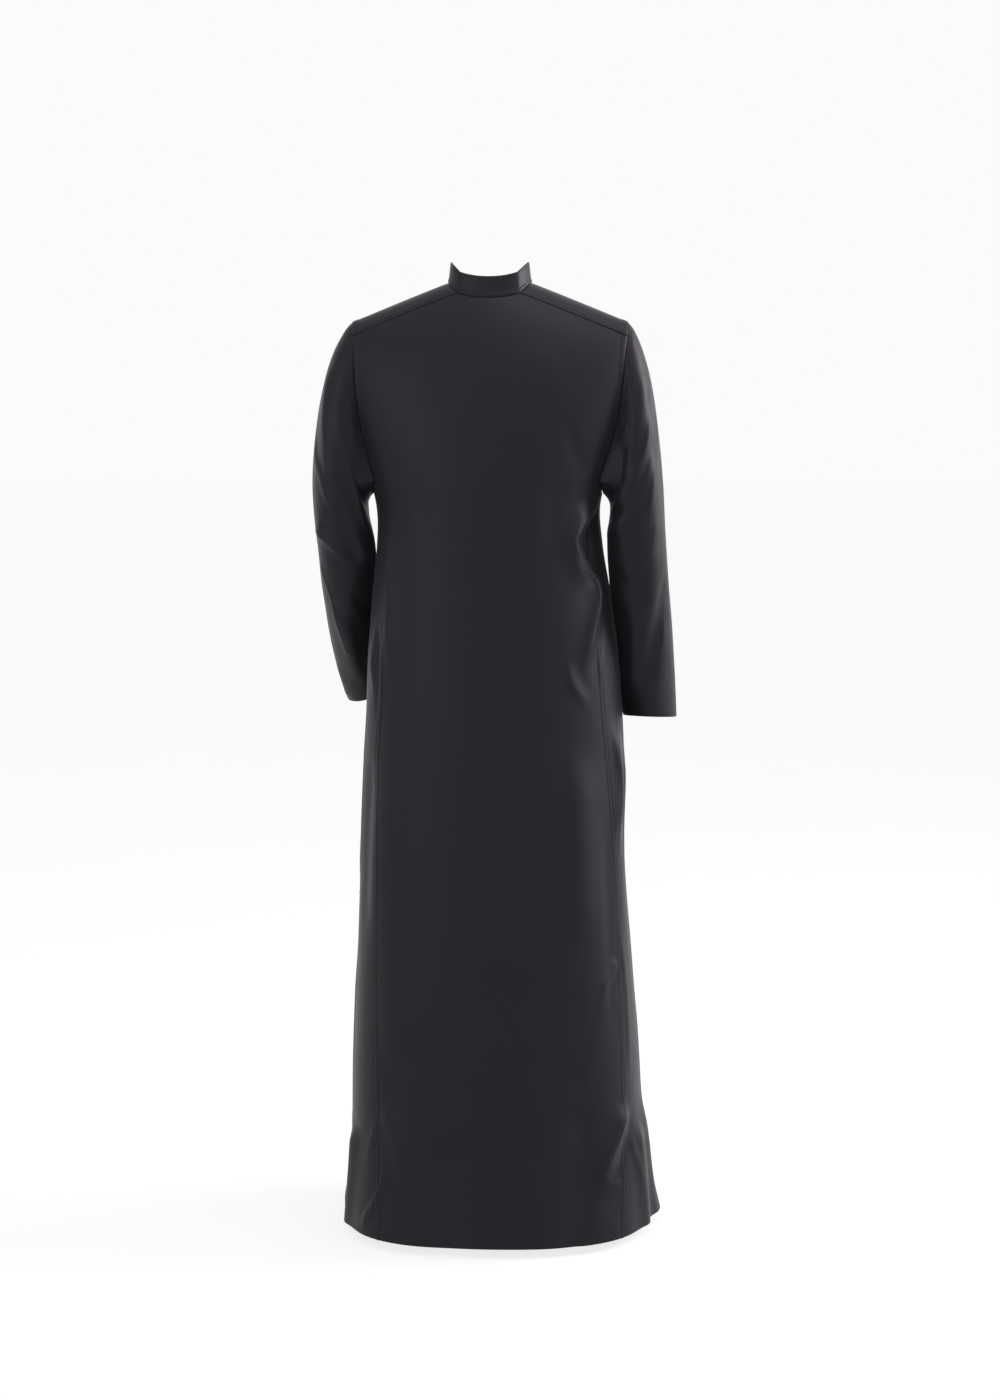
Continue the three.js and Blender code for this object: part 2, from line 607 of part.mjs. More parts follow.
// Closed wall between the outer and the inner places of a grid's points.
function wallGeometry(grid, outerPoints, innerPoints, wall) {
  const { points, closed = false } = grid;
  const width = points[0].length;
  const outer = [];
  const inner = [];
  points.forEach((line, row) => line.forEach((point, column) => {
    const thickness = outerPoints[row][column].distanceTo(innerPoints[row][column]);
    const shift = seamRetreat(points, closed, row, column, Math.max(thickness / wall, 1));
    outer.push(outerPoints[row][column].clone().add(shift));
    inner.push(innerPoints[row][column].clone().add(shift));
  }));
  const count = outer.length;
  const faces = [];
  const borders = new Map();
  gridQuads(grid).forEach((quad) => {
    const corners = quad.map(([row, column]) => row * width + column);
    const [a, b, c, d] = corners;
    faces.push(a, b, c, a, c, d);
    faces.push(a + count, c + count, b + count, a + count, d + count, c + count);
    corners.forEach((from, i) => {
      const to = corners[(i + 1) % corners.length];
      if (!borders.delete(`${to},${from}`)) {
        borders.set(`${from},${to}`, [from, to]);
      }
    });
  });
  const flat = points.flat();
  borders.forEach(([from, to]) => {
    if (isHigher(flat[from], flat[to])) {
      faces.push(from, from + count, to + count, from, to + count, to);
    } else {
      faces.push(from, from + count, to, to, from + count, to + count);
    }
  });
  const geometry = new THREE.BufferGeometry().setFromPoints([...outer, ...inner]);
  geometry.setIndex(faces);
  geometry.computeVertexNormals();
  return geometry;
}

// ================================================================ the body's panels

const onlyFront = panelGrid(false);
const slitColumn = onlyFront[0].length / 2 - 1;
const body = {
  back: { points: panelGrid(true) },
  front: {
    points: onlyFront,
    isCut: (row, column) => column === slitColumn && row < UPPER_ROWS + SLIT_LOWER_ROWS,
  },
  gore_back_left: { points: goreGrid(true, true) },
  gore_front_left: { points: goreGrid(true, false) },
  gore_back_right: { points: goreGrid(false, true) },
  gore_front_right: { points: goreGrid(false, false) },
  yoke_left: { points: yokeGrid(true) },
  yoke_right: { points: yokeGrid(false) },
};

const bodyCrests = BODY_FOLDS.map((fold) => (
  foldCrest(fold, (across, z) => foldedPlace(fold.on, across, z))
));
const smoothNormals = sharedNormals(Object.values(body));
Object.values(body).forEach((grid) => {
  grid.points = grid.points.map((row) => row.map((point) => (
    point.clone().addScaledVector(smoothNormals(point), foldRise(point, bodyCrests))
  )));
});

// ================================================================ sleeves and collar

const sideName = (isLeft) => (isLeft ? 'left' : 'right');

// Points round an armhole: from the underarm over the back, the shoulder and the front on the
// left side, and the other way about on the right.
function armholeLoop(isLeft) {
  const inTurn = (line, isForward) => (isForward ? line : [...line].reverse());
  const edge = (points, column) => points.slice(0, UPPER_ROWS).map((row) => row.at(column));
  const name = sideName(isLeft);
  const loop = [
    ...inTurn(body[`gore_back_${name}`].points[0], !isLeft),
    ...inTurn(edge(body.back.points, isLeft ? -1 : 0), false),
    ...inTurn(body[`yoke_${name}`].points.at(-1), isLeft).slice(1),
    ...edge(body.front.points, isLeft ? 0 : -1).slice(1),
    ...inTurn(body[`gore_front_${name}`].points[0], !isLeft).slice(0, -1),
  ];
  return isLeft ? loop : [loop[0], ...loop.slice(1).reverse()];
}

const sleeves = {
  sleeve_left: {
    points: sleeveGrid(SLEEVE_LEFT, true, armholeLoop(true), SLEEVE_FOLDS_LEFT),
    closed: true,
  },
  sleeve_right: {
    points: sleeveGrid(SLEEVE_RIGHT, false, armholeLoop(false), SLEEVE_FOLDS_RIGHT),
    closed: true,
  },
};

// Stand collar, from one side of the slit round the neck to the other. Its foot is the neckline.
// It leans in towards the neck, and under the placket straight back.
function collarGrid() {
  const shoulderColumns = SHOULDER_SHARES.length - 1;
  const frontNeckline = body.front.points[0].slice(shoulderColumns, -shoulderColumns);
  const backNeckline = body.back.points[0].slice(shoulderColumns, -shoulderColumns);
  const half = frontNeckline.length / 2;
  const foot = [
    ...frontNeckline.slice(half),
    ...body.yoke_right.points[0].slice(1),
    ...backNeckline.slice(1),
    ...body.yoke_left.points[0].slice(1),
    ...frontNeckline.slice(1, half),
  ];
  const points = [];
  for (let row = 0; row <= COLLAR_ROWS; row += 1) {
    const rise = COLLAR_HEIGHT * (1 - row / COLLAR_ROWS);
    points.push(foot.map((point, column) => {
      const lean = new THREE.Vector3(-point.x, NECK_MIDDLE_Y - point.y, 0);
      if (column < 2 || column > foot.length - 3) {
        lean.setX(0);
      }
      return lean.setLength(COLLAR_LEAN * rise).setZ(rise).add(point);
    }));
  }
  return points;
}

const collar = { points: collarGrid() };

// ================================================================ pieces laid on the panels

// Placket: the strip over the collar's ends and the slit, made from the points that it covers.
const placketOverCollar = collar.points.slice(0, -1).map((row) => (
  [row.at(-2), row.at(-1), row[0], row[1]]
));
const placketOverFront = body.front.points.slice(0, UPPER_ROWS + SLIT_LOWER_ROWS + 1)
  .map((row) => row.slice(slitColumn - 1, slitColumn + 3));
const placket = { points: [...placketOverCollar, ...placketOverFront] };

// Pocket bag: behind the open stretch of the left side seam, inside both gores.
const bagRows = (grid) => grid.points.slice(POCKET_BAG_ROWS.top, POCKET_BAG_ROWS.bottom + 1);
const bagInFront = bagRows(body.gore_front_left).map((row) => row.slice(1, POCKET_BAG_COLUMNS));
const pocketBag = {
  points: bagRows(body.gore_back_left)
    .map((row, i) => [...row.slice(-POCKET_BAG_COLUMNS), ...bagInFront[i]]),
};

const tailored = [...Object.values(body), ...Object.values(sleeves), collar];
const closedNormals = sharedNormals(tailored);
const layer = (grid, distance) => movedOut(grid.points, closedNormals, distance);
const bagOuter = layer(pocketBag, -(WALL + LAID_GAP));
const bagInner = layer(pocketBag, -(WALL + LAID_GAP + POCKET_BAG_WALL));
const placketOuter = layer(placket, LAID_GAP + BAND_WALL);
const placketInner = layer(placket, LAID_GAP);

// The pocket's mouth: the side seam's edges part there, the front one standing out.
for (let row = POCKET_MOUTH_ROWS.top + 1; row < POCKET_MOUTH_ROWS.bottom; row += 1) {
  const backLine = body.gore_back_left.points[row];
  const frontLine = body.gore_front_left.points[row];
  const seam = backLine.at(-1);
  const backward = backLine.at(-2).clone().sub(seam).setLength(POCKET_MOUTH_GAPE / 4);
  const outward = closedNormals(seam).clone().multiplyScalar(POCKET_MOUTH_GAPE / 2);
  const forward = frontLine[1].clone().sub(seam).setLength(POCKET_MOUTH_GAPE / 2);
  backLine[backLine.length - 1] = seam.clone().add(backward);
  frontLine[0] = seam.clone().add(forward).add(outward);
}

// Button: a disc with rounded edges, seated on the placket in the middle of one of its rows.
function buttonGeometry(row) {
  const [upper, lower] = [placketOuter[row], placketOuter[row + 1]];
  const corners = [upper[1], upper[2], lower[2], lower[1]];
  const middle = corners.reduce((sum, point) => sum.add(point), new THREE.Vector3())
    .divideScalar(corners.length);
  const normal = corners[2].clone().sub(corners[0]).cross(corners[1].clone().sub(corners[3]))
    .normalize().negate();
  const rim = BUTTON_THICKNESS / 4;
  const profile = [
    [0, 0],
    [BUTTON_RADIUS - rim, 0],
    [BUTTON_RADIUS, rim],
    [BUTTON_RADIUS, BUTTON_THICKNESS - rim],
    [BUTTON_RADIUS - rim, BUTTON_THICKNESS],
    [0, BUTTON_THICKNESS],
  ].map(([radius, height]) => new THREE.Vector2(radius, height));
  const geometry = new THREE.LatheGeometry(profile, BUTTON_SIDES);
  const upright = new THREE.Vector3(0, 1, 0);
  geometry.applyQuaternion(new THREE.Quaternion().setFromUnitVectors(upright, normal));
  const seat = middle.addScaledVector(normal, BUTTON_SEAT_GAP);
  geometry.translate(seat.x, seat.y, seat.z);
  return geometry;
}

// ================================================================ the garment

const group = new THREE.Group();

function addMesh(name, geometry, finish) {
  const mesh = new THREE.Mesh(geometry, new THREE.MeshStandardMaterial(finish));
  mesh.name = name;
  group.add(mesh);
}

const seamNormals = sharedNormals(tailored);
Object.entries({ ...body, ...sleeves, collar }).forEach(([name, grid]) => {
  const inner = movedOut(grid.points, seamNormals, -WALL);
  addMesh(name, wallGeometry(grid, grid.points, inner, WALL), CLOTH);
});
addMesh('pocket_left', wallGeometry(pocketBag, bagOuter, bagInner, POCKET_BAG_WALL), CLOTH);
addMesh('placket', wallGeometry(placket, placketOuter, placketInner, BAND_WALL), CLOTH);
BUTTON_ROWS.forEach((row, i) => {
  addMesh(`button_${i + 1}`, buttonGeometry(row), BUTTON);
});

export default group;
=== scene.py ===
"""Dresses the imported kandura: draped cloth shells, felled seams, hems, stitches, placket and buttons.

Lengths in the garment's own sizes are millimetres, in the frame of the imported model: +X is the
wearer's left, the front faces -Y and up is +Z. Meshes are written in metres.
"""

import logging
import math
from dataclasses import dataclass, field
from enum import Enum
from typing import Any, Callable, Iterable, Optional, Sequence, Union

import bpy
import numpy as np
from mathutils import Matrix, Vector
from mathutils.kdtree import KDTree


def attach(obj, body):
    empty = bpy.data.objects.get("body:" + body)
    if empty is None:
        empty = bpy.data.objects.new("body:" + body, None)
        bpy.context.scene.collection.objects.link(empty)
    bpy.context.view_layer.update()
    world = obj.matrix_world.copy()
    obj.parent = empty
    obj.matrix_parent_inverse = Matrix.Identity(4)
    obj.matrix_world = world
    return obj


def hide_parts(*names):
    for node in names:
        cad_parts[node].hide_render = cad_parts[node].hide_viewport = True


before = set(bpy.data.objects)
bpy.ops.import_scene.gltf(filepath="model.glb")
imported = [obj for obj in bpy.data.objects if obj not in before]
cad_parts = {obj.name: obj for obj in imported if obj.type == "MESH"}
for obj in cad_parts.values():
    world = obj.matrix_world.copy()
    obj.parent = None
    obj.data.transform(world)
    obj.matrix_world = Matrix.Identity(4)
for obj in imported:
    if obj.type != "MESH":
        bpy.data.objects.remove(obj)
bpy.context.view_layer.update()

LOG = logging.getLogger("kandura")
MM = 0.001
BAND_COLUMNS = 6
FOLD_REACH = 3.4
CREASE_REACH = 3.6
CREASE_STEPS = 6
GORE_STEPS = 6
YOKE_STEPS = 6
FELL_WIDTH = 6.6
FELL_INSET = 1.2
FELL_LIFT = 0.6
FLAT_LIFT = 0.12
Array = np.ndarray
Number = Union[float, Array]
Path = tuple[tuple[float, float], ...]
Color = tuple[float, float, float, float]


# ------------------------------------------------------------------------------ small maths


def mix(a: Number, b: Number, t: Number) -> Number:
    """Return the value a share t of the way from a to b."""
    return a + (b - a) * t


def smooth_step(t: Number) -> Number:
    """Return t clamped to 0..1 and eased at both ends."""
    c = np.clip(t, 0.0, 1.0)
    return c * c * (3 - 2 * c)


def unit(vectors: Array) -> Array:
    """Return vectors along the last axis at length one."""
    lengths = np.linalg.norm(vectors, axis=-1, keepdims=True)
    return vectors / np.maximum(lengths, 1e-12)


def bump(distance: Array, width: float) -> Array:
    """Return a bell of height one over a distance, with the given half width."""
    return np.exp(-np.square(distance / width))


def ledge(distance: Array, width: float, softness: float = 1.4) -> Array:
    """Return one up to a width from an edge, eased to zero past it."""
    return 1 - smooth_step((distance - width) / softness)


def lined(
    steps: int,
    length: float,
    starts: Sequence[float],
    ends: Sequence[float],
    crowding: float = 1.0,
) -> Array:
    """Spread places over 0..1, with extra ones close to either end.

    Args:
        steps: Number of main steps.
        length: Length that 0..1 stands for.
        starts: Distances of the extra places from the start.
        ends: Distances of the extra places from the end.
        crowding: Power below 1 that moves the main steps towards the end.

    Returns:
        The places, rising from 0 to 1.
    """
    even = np.linspace(0, 1, steps + 1) ** crowding
    near = np.array([d / length for d in starts] + [1 - d / length for d in ends])
    kept = [p for p in even[1:-1] if not near.size or np.abs(near - p).min() > 0.25 / steps]
    return np.array(sorted({0.0, 1.0, *kept, *near.tolist()}))


class Table:
    """Rows of numbers under named columns, read smoothly along the first column."""

    def __init__(self, names: str, rows: Sequence[Sequence[float]]) -> None:
        """Take the column names, parted by spaces, and the rows in any order."""
        data = np.array(sorted(rows), dtype=float)
        self.keys = data[:, 0]
        self.columns = dict(zip(names.split(), data.T))

    def read(self, name: str, place: Number) -> Array:
        """Return a column's value at places along the first column."""
        keys, values = self.keys, self.columns[name]
        slopes = np.empty_like(values)
        slopes[1:-1] = (values[2:] - values[:-2]) / (keys[2:] - keys[:-2])
        slopes[0] = (values[1] - values[0]) / (keys[1] - keys[0])
        slopes[-1] = (values[-1] - values[-2]) / (keys[-1] - keys[-2])
        inside = np.clip(place, keys[0], keys[-1])
        i = np.clip(np.searchsorted(keys, inside) - 1, 0, len(keys) - 2)
        span = keys[i + 1] - keys[i]
        t = (inside - keys[i]) / span
        t2, t3 = t * t, t * t * t
        return (
            (2 * t3 - 3 * t2 + 1) * values[i]
            + (t3 - 2 * t2 + t) * slopes[i] * span
            + (3 * t2 - 2 * t3) * values[i + 1]
            + (t3 - t2) * slopes[i + 1] * span
        )


# ------------------------------------------------------------------------------ sizes in tables

GIRTH = Table(
    "z left right back front power",
    [
        (20, 262, 262, 112, 112, 2.4),
        (-75, 250, 250, 116, 121, 2.4),
        (-200, 216, 215, 122, 131, 2.4),
        (-330, 178, 172, 127, 137, 2.4),
        (-400, 174, 173, 129, 140, 2.4),
        (-480, 178, 184, 133, 144, 2.4),
        (-600, 187, 198, 142, 150, 2.4),
        (-750, 195, 208, 156, 160, 2.4),
        (-950, 205, 218, 174, 174, 2.45),
        (-1150, 212, 232, 192, 188, 2.5),
        (-1280, 215, 239, 203, 197, 2.6),
        (-1370, 218, 245, 211, 202, 2.65),
        (-1460, 223, 250, 220, 208, 2.7),
    ],
)

PANEL_EDGES = Table(
    "z backLeft backRight front",
    [
        (-50, 0.835, 0.835, 0.835),
        (-110, 0.86, 0.86, 0.86),
        (-160, 0.897, 0.897, 0.893),
        (-220, 0.93, 0.93, 0.92),
        (-300, 0.935, 0.935, 0.93),
        (-450, 0.91, 0.91, 0.9),
        (-600, 0.88, 0.885, 0.88),
        (-750, 0.885, 0.9, 0.88),
        (-950, 0.845, 0.93, 0.86),
        (-1150, 0.815, 0.9, 0.84),
        (-1300, 0.785, 0.885, 0.82),
        (-1460, 0.75, 0.855, 0.79),
    ],
)

SLEEVE_COLUMNS = "at outX outY outZ inX inY inZ half"
SLEEVE_LEFT_ROWS = [
    (207, 0, -58, 180, 0, -322, 64),
    (222, 0, -74, 186, 0, -328, 69),
    (240, 0, -104, 190, 0, -340, 72),
    (255, 1, -148, 188, -1, -358, 74),
    (268, 4, -212, 183, -3, -380, 74),
    (275, 9, -290, 181, -7, -406, 71),
    (273, 10, -356, 182, -16, -434, 66),
    (267, -4, -416, 184, -32, -464, 61),
    (264, -42, -482, 182, -60, -502, 57),
    (259, -86, -548, 177, -94, -548, 54),
    (252, -126, -606, 170, -126, -588, 51),
    (245, -152, -644, 165, -146, -616, 49),
]
SLEEVE_RIGHT_ROWS = [
    (-207, 0, -58, -176, 0, -322, 64),
    (-220, 0, -74, -182, 0, -328, 69),
    (-235, 0, -104, -186, 0, -340, 72),
    (-248, 0, -148, -185, 0, -360, 74),
    (-258, 1, -212, -182, 0, -386, 74),
    (-267, 2, -300, -183, 0, -420, 70),
    (-272, 2, -380, -187, 0, -458, 65),
    (-277, -1, -452, -191, -3, -500, 61),
    (-283, -7, -524, -197, -9, -546, 57),
    (-287, -14, -588, -202, -16, -594, 54),
    (-290, -20, -634, -206, -21, -636, 52),
    (-292, -23, -662, -209, -24, -660, 51),
]


class Side(Enum):
    """Where on the body a fold lies, which tells what its two coordinates are."""

    BACK = "back"
    FRONT = "front"
    LEFT = "left"
    RIGHT = "right"
    SLEEVE = "sleeve"


@dataclass(frozen=True)
class Fold:
    """A soft ridge, or a trough where its height is negative, that tapers at both ends.

    The points of its path are x and z on the back or front, y and z on a side, and the share of
    the way from armhole to cuff with degrees round the section on a sleeve.
    """

    side: Side
    path: Path
    width: float
    height: float
    sharp: float = 0.0
    hollow: float = 0.0

    def reach(self) -> float:
        """Return how far from its crest the fold still shows."""
        return FOLD_REACH * self.width

    def places(self) -> Array:
        """Return points of the curve through the three given ones, in the fold's coordinates."""
        t = np.linspace(0, 1, 13)[:, None]
        a, b, c = (np.array(p, dtype=float) for p in self.path)
        return (1 - t) * (1 - 2 * t) * a + 4 * t * (1 - t) * b + t * (2 * t - 1) * c

    def rise(self, place: Array, aside: Array) -> Array:
        """Return how far the cloth rises.

        Args:
            place: Share of the way along the fold.
            aside: Distance from the crest, positive on the right of one who goes down it.
        """
        taper = smooth_step(3.5 * np.minimum(place, 1 - place))
        far = np.abs(aside) / self.width
        shape = np.exp(-np.power(far, 2 - 0.7 * self.sharp))
        beside = self.hollow * np.exp(-np.square((far - 1.75) / 0.75)) * (aside > 0)
        return self.height * taper * (shape - beside)


@dataclass(frozen=True)
class Crease(Fold):
    """A crisp fold through any number of points, with a crest of its own radius.

    A positive skew makes the right side wide and the left side steep.
    """

    skew: float = 0.0
    start: float = 0.3
    end: float = 0.45
    crest: float = 2.2

    def reach(self) -> float:
        """Return how far from its crest the crease still shows."""
        return CREASE_REACH * self.width * (1 + abs(self.skew))

    def places(self) -> Array:
        """Return points of a smooth curve through the given ones, in the crease's coordinates."""
        last = len(self.path) - 1
        table = Table("at u v", [(i, *point) for i, point in enumerate(self.path)])
        t = np.linspace(0, last, CREASE_STEPS * last + 1)
        return np.stack([table.read("u", t), table.read("v", t)], axis=1)

    def rise(self, place: Array, aside: Array) -> Array:
        """Return how far the cloth rises, as on any fold."""
        taper = smooth_step(place / self.start) * smooth_step((1 - place) / self.end)
        width = self.width * (1 + self.skew * np.sign(aside))
        far = (np.hypot(aside, self.crest) - self.crest) / width
        beside = self.hollow * np.exp(-np.square((far - 1.5) / 0.7)) * (aside > 0)
        return self.height * taper * (np.exp(-np.power(far, 1.25)) - beside)


def folds(side: Side, rows: Iterable[Sequence[float]]) -> list[Fold]:
    """Make the folds of one side from rows of start, via, end, width, height, sharp and hollow."""
    return [Fold(side, (tuple(r[0:2]), tuple(r[2:4]), tuple(r[4:6])), *r[6:]) for r in rows]


def creases(side: Side, rows: Iterable[tuple[Path, dict[str, float]]]) -> list[Fold]:
    """Make the creases of one side from rows of a path and named sizes."""
    return [Crease(side, path, **sizes) for path, sizes in rows]


LARGE_BODY_FOLDS = [
    *folds(
        Side.BACK,
        [
            (-172, -326, -129, -392, -164, -468, 15, 7, 0.4, 0.3),
            (-168, -350, -157, -400, -172, -446, 12, -5),
            (-160, -442, -163, -506, -143, -604, 13, 6, 0.4, 0.2),
            (-140, -700, -148, -860, -144, -1040, 32, 5),
            (-182, -800, -188, -960, -194, -1180, 13, -2),
            (-210, -1248, -197, -1312, -166, -1376, 17, 7, 0.4, 0.3),
            (-150, -1240, -146, -1350, -138, -1580, 26, -5),
            (152, -345, 150, -470, 149, -615, 17, 5, 0.2),
            (150, -900, 146, -1050, 140, -1200, 30, 4),
            (160, -1256, 136, -1300, 114, -1388, 20, 4.4, 0.2, 0.2),
            (60, -1290, 58, -1380, 60, -1580, 40, -4),
        ],
    ),
    *folds(
        Side.RIGHT,
        [
            (60, -660, 62, -760, 80, -860, 13, 6, 0.3),
            (20, -760, 10, -960, 0, -1180, 30, -4),
            (84, -1290, 76, -1390, 66, -1600, 22, 8, 0.2),
            (44, -1310, 34, -1400, 26, -1600, 18, -3),
            (-16, -1325, -36, -1800, -76, -2300, 34, 34),
            (-104, -1200, -112, -1330, -120, -1580, 26, -8),
        ],
    ),
    *folds(
        Side.LEFT,
        [
            (70, -700, 74, -860, 96, -1040, 22, -4),
            (92, -1300, 86, -1390, 78, -1600, 22, 8, 0.2),
            (50, -1320, 42, -1400, 34, -1600, 18, -6),
            (-8, -1370, -14, -1520, -24, -1700, 32, 9),
            (-100, -1180, -108, -1320, -116, -1580, 26, -8),
        ],
    ),
    *folds(
        Side.FRONT,
        [
            (-154, -332, -128, -400, -140, -500, 17, 7, 0.3, 0.2),
            (152, -336, 124, -396, 136, -490, 17, 7, 0.3, 0.2),
            (-120, -180, -104, -250, -100, -340, 22, 4),
            (118, -190, 100, -262, 96, -350, 22, 4),
            (-130, -560, -140, -760, -146, -980, 26, 6),
            (126, -540, 134, -740, 138, -960, 26, 6),
            (-92, -1060, -100, -1260, -108, -1580, 34, 10),
            (84, -1040, 92, -1250, 104, -1580, 34, 10),
            (-8, -980, -4, -1220, 2, -1580, 46, -8),
            (-168, -1150, -172, -1300, -174, -1580, 26, -7),
            (164, -1160, 168, -1310, 166, -1580, 26, -7),
        ],
    ),
]

BACK_CREASES = creases(
    Side.BACK,
    [
        (((-172, -326), (-150, -358), (-130, -386), (-132, -402), (-148, -426), (-164, -456),
          (-166, -482), (-158, -520), (-149, -560), (-143, -604)),
         dict(width=6, height=3.4, skew=0.35, start=0.12, end=0.35, hollow=0.3)),
        (((-124, -568), (-125, -592), (-133, -614), (-145, -632), (-158, -653)),
         dict(width=8, height=3.0, skew=0.4, hollow=0.2)),
        (((-130, -672), (-131, -750), (-137, -820), (-141, -900), (-143, -990)),
         dict(width=15, height=2.2, skew=0.6, start=0.35, crest=5)),
        (((-171, -538), (-170, -564), (-172, -592), (-175, -622)), dict(width=3.4, height=1.3)),
        (((-199, -1030), (-190, -1052), (-182, -1068), (-178, -1094), (-170, -1126)),
         dict(width=7, height=2.6, skew=0.3, start=0.12, end=0.6, hollow=0.3)),
        (((-209, -1216), (-210, -1258), (-205, -1292), (-190, -1324), (-174, -1356)),
         dict(width=6, height=2.8, skew=-0.2, start=0.5, end=0.3, crest=2.2)),
        (((-174, -1352), (-188, -1369), (-202, -1376), (-214, -1380)),
         dict(width=4.5, height=2.0, start=0.2, end=0.3, crest=1.4)),
        (((-186, -1392), (-172, -1410), (-160, -1428), (-152, -1456), (-149, -1490)),
         dict(width=11, height=2.8, skew=0.4, start=0.3, end=0.2, crest=4)),
        (((-168, -1366), (-166, -1392), (-154, -1416), (-140, -1434)),
         dict(width=9, height=-2.6, start=0.3, end=0.5, crest=4)),
        (((-178, -1120), (-166, -1160), (-158, -1200), (-154, -1240)),
         dict(width=10, height=1.5, skew=0.3, crest=4)),
        (((-120, -286), (-104, -330), (-100, -380), (-108, -440)),
         dict(width=10, height=-1.8, crest=5)),
        (((152, -366), (150, -449), (147, -540), (150, -610)),
         dict(width=10, height=1.8, skew=-0.3, crest=4)),
        (((168, -505), (166, -560), (168, -634), (169, -690)),
         dict(width=5, height=-2.0, start=0.3, end=0.4, crest=2.4)),
        (((176, -494), (177, -540), (176, -590), (171, -640)),
         dict(width=6, height=2.6, skew=0.3, crest=3)),
        (((160, -1250), (146, -1278), (130, -1306), (118, -1346), (114, -1392)),
         dict(width=9, height=1.0, skew=0.3, start=0.5, end=0.5, crest=3)),
        (((157, -1312), (156, -1350), (160, -1380), (172, -1408), (184, -1430), (191, -1456)),
         dict(width=6, height=2.6, skew=0.35, start=0.4, end=0.2, crest=2.2, hollow=0.3)),
        (((166, -1272), (172, -1300), (180, -1330), (186, -1362)),
         dict(width=7, height=1.6, start=0.2, end=0.5, crest=3)),
        (((118, -280), (102, -326), (98, -372), (106, -430)), dict(width=10, height=-1.8, crest=5)),
        (((-112, -196), (-132, -250), (-150, -300)), dict(width=10, height=-2.2, crest=4)),
        (((118, -200), (138, -254), (154, -300)), dict(width=10, height=-2.2, crest=4)),
        (((-70, -92), (-98, -140), (-140, -190)), dict(width=16, height=1.4, crest=8)),
        (((70, -92), (100, -140), (142, -188)), dict(width=16, height=1.4, crest=8)),
    ],
)
RIGHT_CREASES = creases(
    Side.RIGHT,
    [
        (((26, -330), (22, -450), (18, -580), (16, -710), (14, -860)),
         dict(width=32, height=5.2, start=0.45, end=0.3, crest=14)),
        (((70, -676), (64, -730), (60, -777), (66, -845), (72, -900)),
         dict(width=4.5, height=2.6, skew=0.2, crest=1.6)),
        (((20, -700), (24, -750), (26, -800), (36, -870), (48, -930)),
         dict(width=5.5, height=3.0, skew=-0.2, crest=2)),
        (((46, -420), (40, -500), (44, -580), (52, -650)), dict(width=9, height=2.0, crest=4)),
        (((-40, -440), (-34, -560), (-42, -700), (-50, -820)), dict(width=12, height=2.4, crest=5)),
        (((90, -960), (84, -1060), (90, -1160), (100, -1240)),
         dict(width=8, height=1.8, skew=0.4, crest=3)),
        (((30, -1250), (26, -1310), (22, -1390), (18, -1480), (16, -1620)),
         dict(width=22, height=11.0, start=0.4, end=0.1, crest=10)),
        (((-66, -900), (-60, -1040), (-70, -1200), (-74, -1480)),
         dict(width=14, height=3.4, skew=-0.3, end=0.2, crest=6)),
        (((112, -1300), (104, -1340), (90, -1380), (84, -1410)),
         dict(width=5, height=2.0, start=0.2, crest=2)),
    ],
)
LEFT_CREASES = creases(
    Side.LEFT,
    [
        (((14, -360), (10, -460), (8, -580), (6, -720)),
         dict(width=34, height=5.0, start=0.4, crest=14)),
        (((66, -486), (60, -540), (62, -600), (70, -660)),
         dict(width=6, height=2.4, skew=0.3, crest=2.4)),
        (((86, -520), (82, -590), (86, -650), (80, -720)), dict(width=5, height=1.8, crest=2)),
        (((30, -640), (22, -740), (28, -860), (36, -960)), dict(width=10, height=2.0, crest=4)),
        (((40, -1010), (34, -1120), (36, -1240), (30, -1340)),
         dict(width=10, height=2.4, skew=-0.3, crest=4)),
        (((-46, -450), (-40, -580), (-48, -720), (-54, -820)), dict(width=13, height=2.6, crest=5)),
        (((-60, -940), (-64, -1080), (-72, -1220), (-70, -1480)),
         dict(width=14, height=3.2, skew=0.3, end=0.2, crest=6)),
        (((20, -1250), (12, -1320), (8, -1400), (6, -1490)),
         dict(width=8, height=2.6, skew=-0.3, end=0.2, crest=3)),
    ],
)
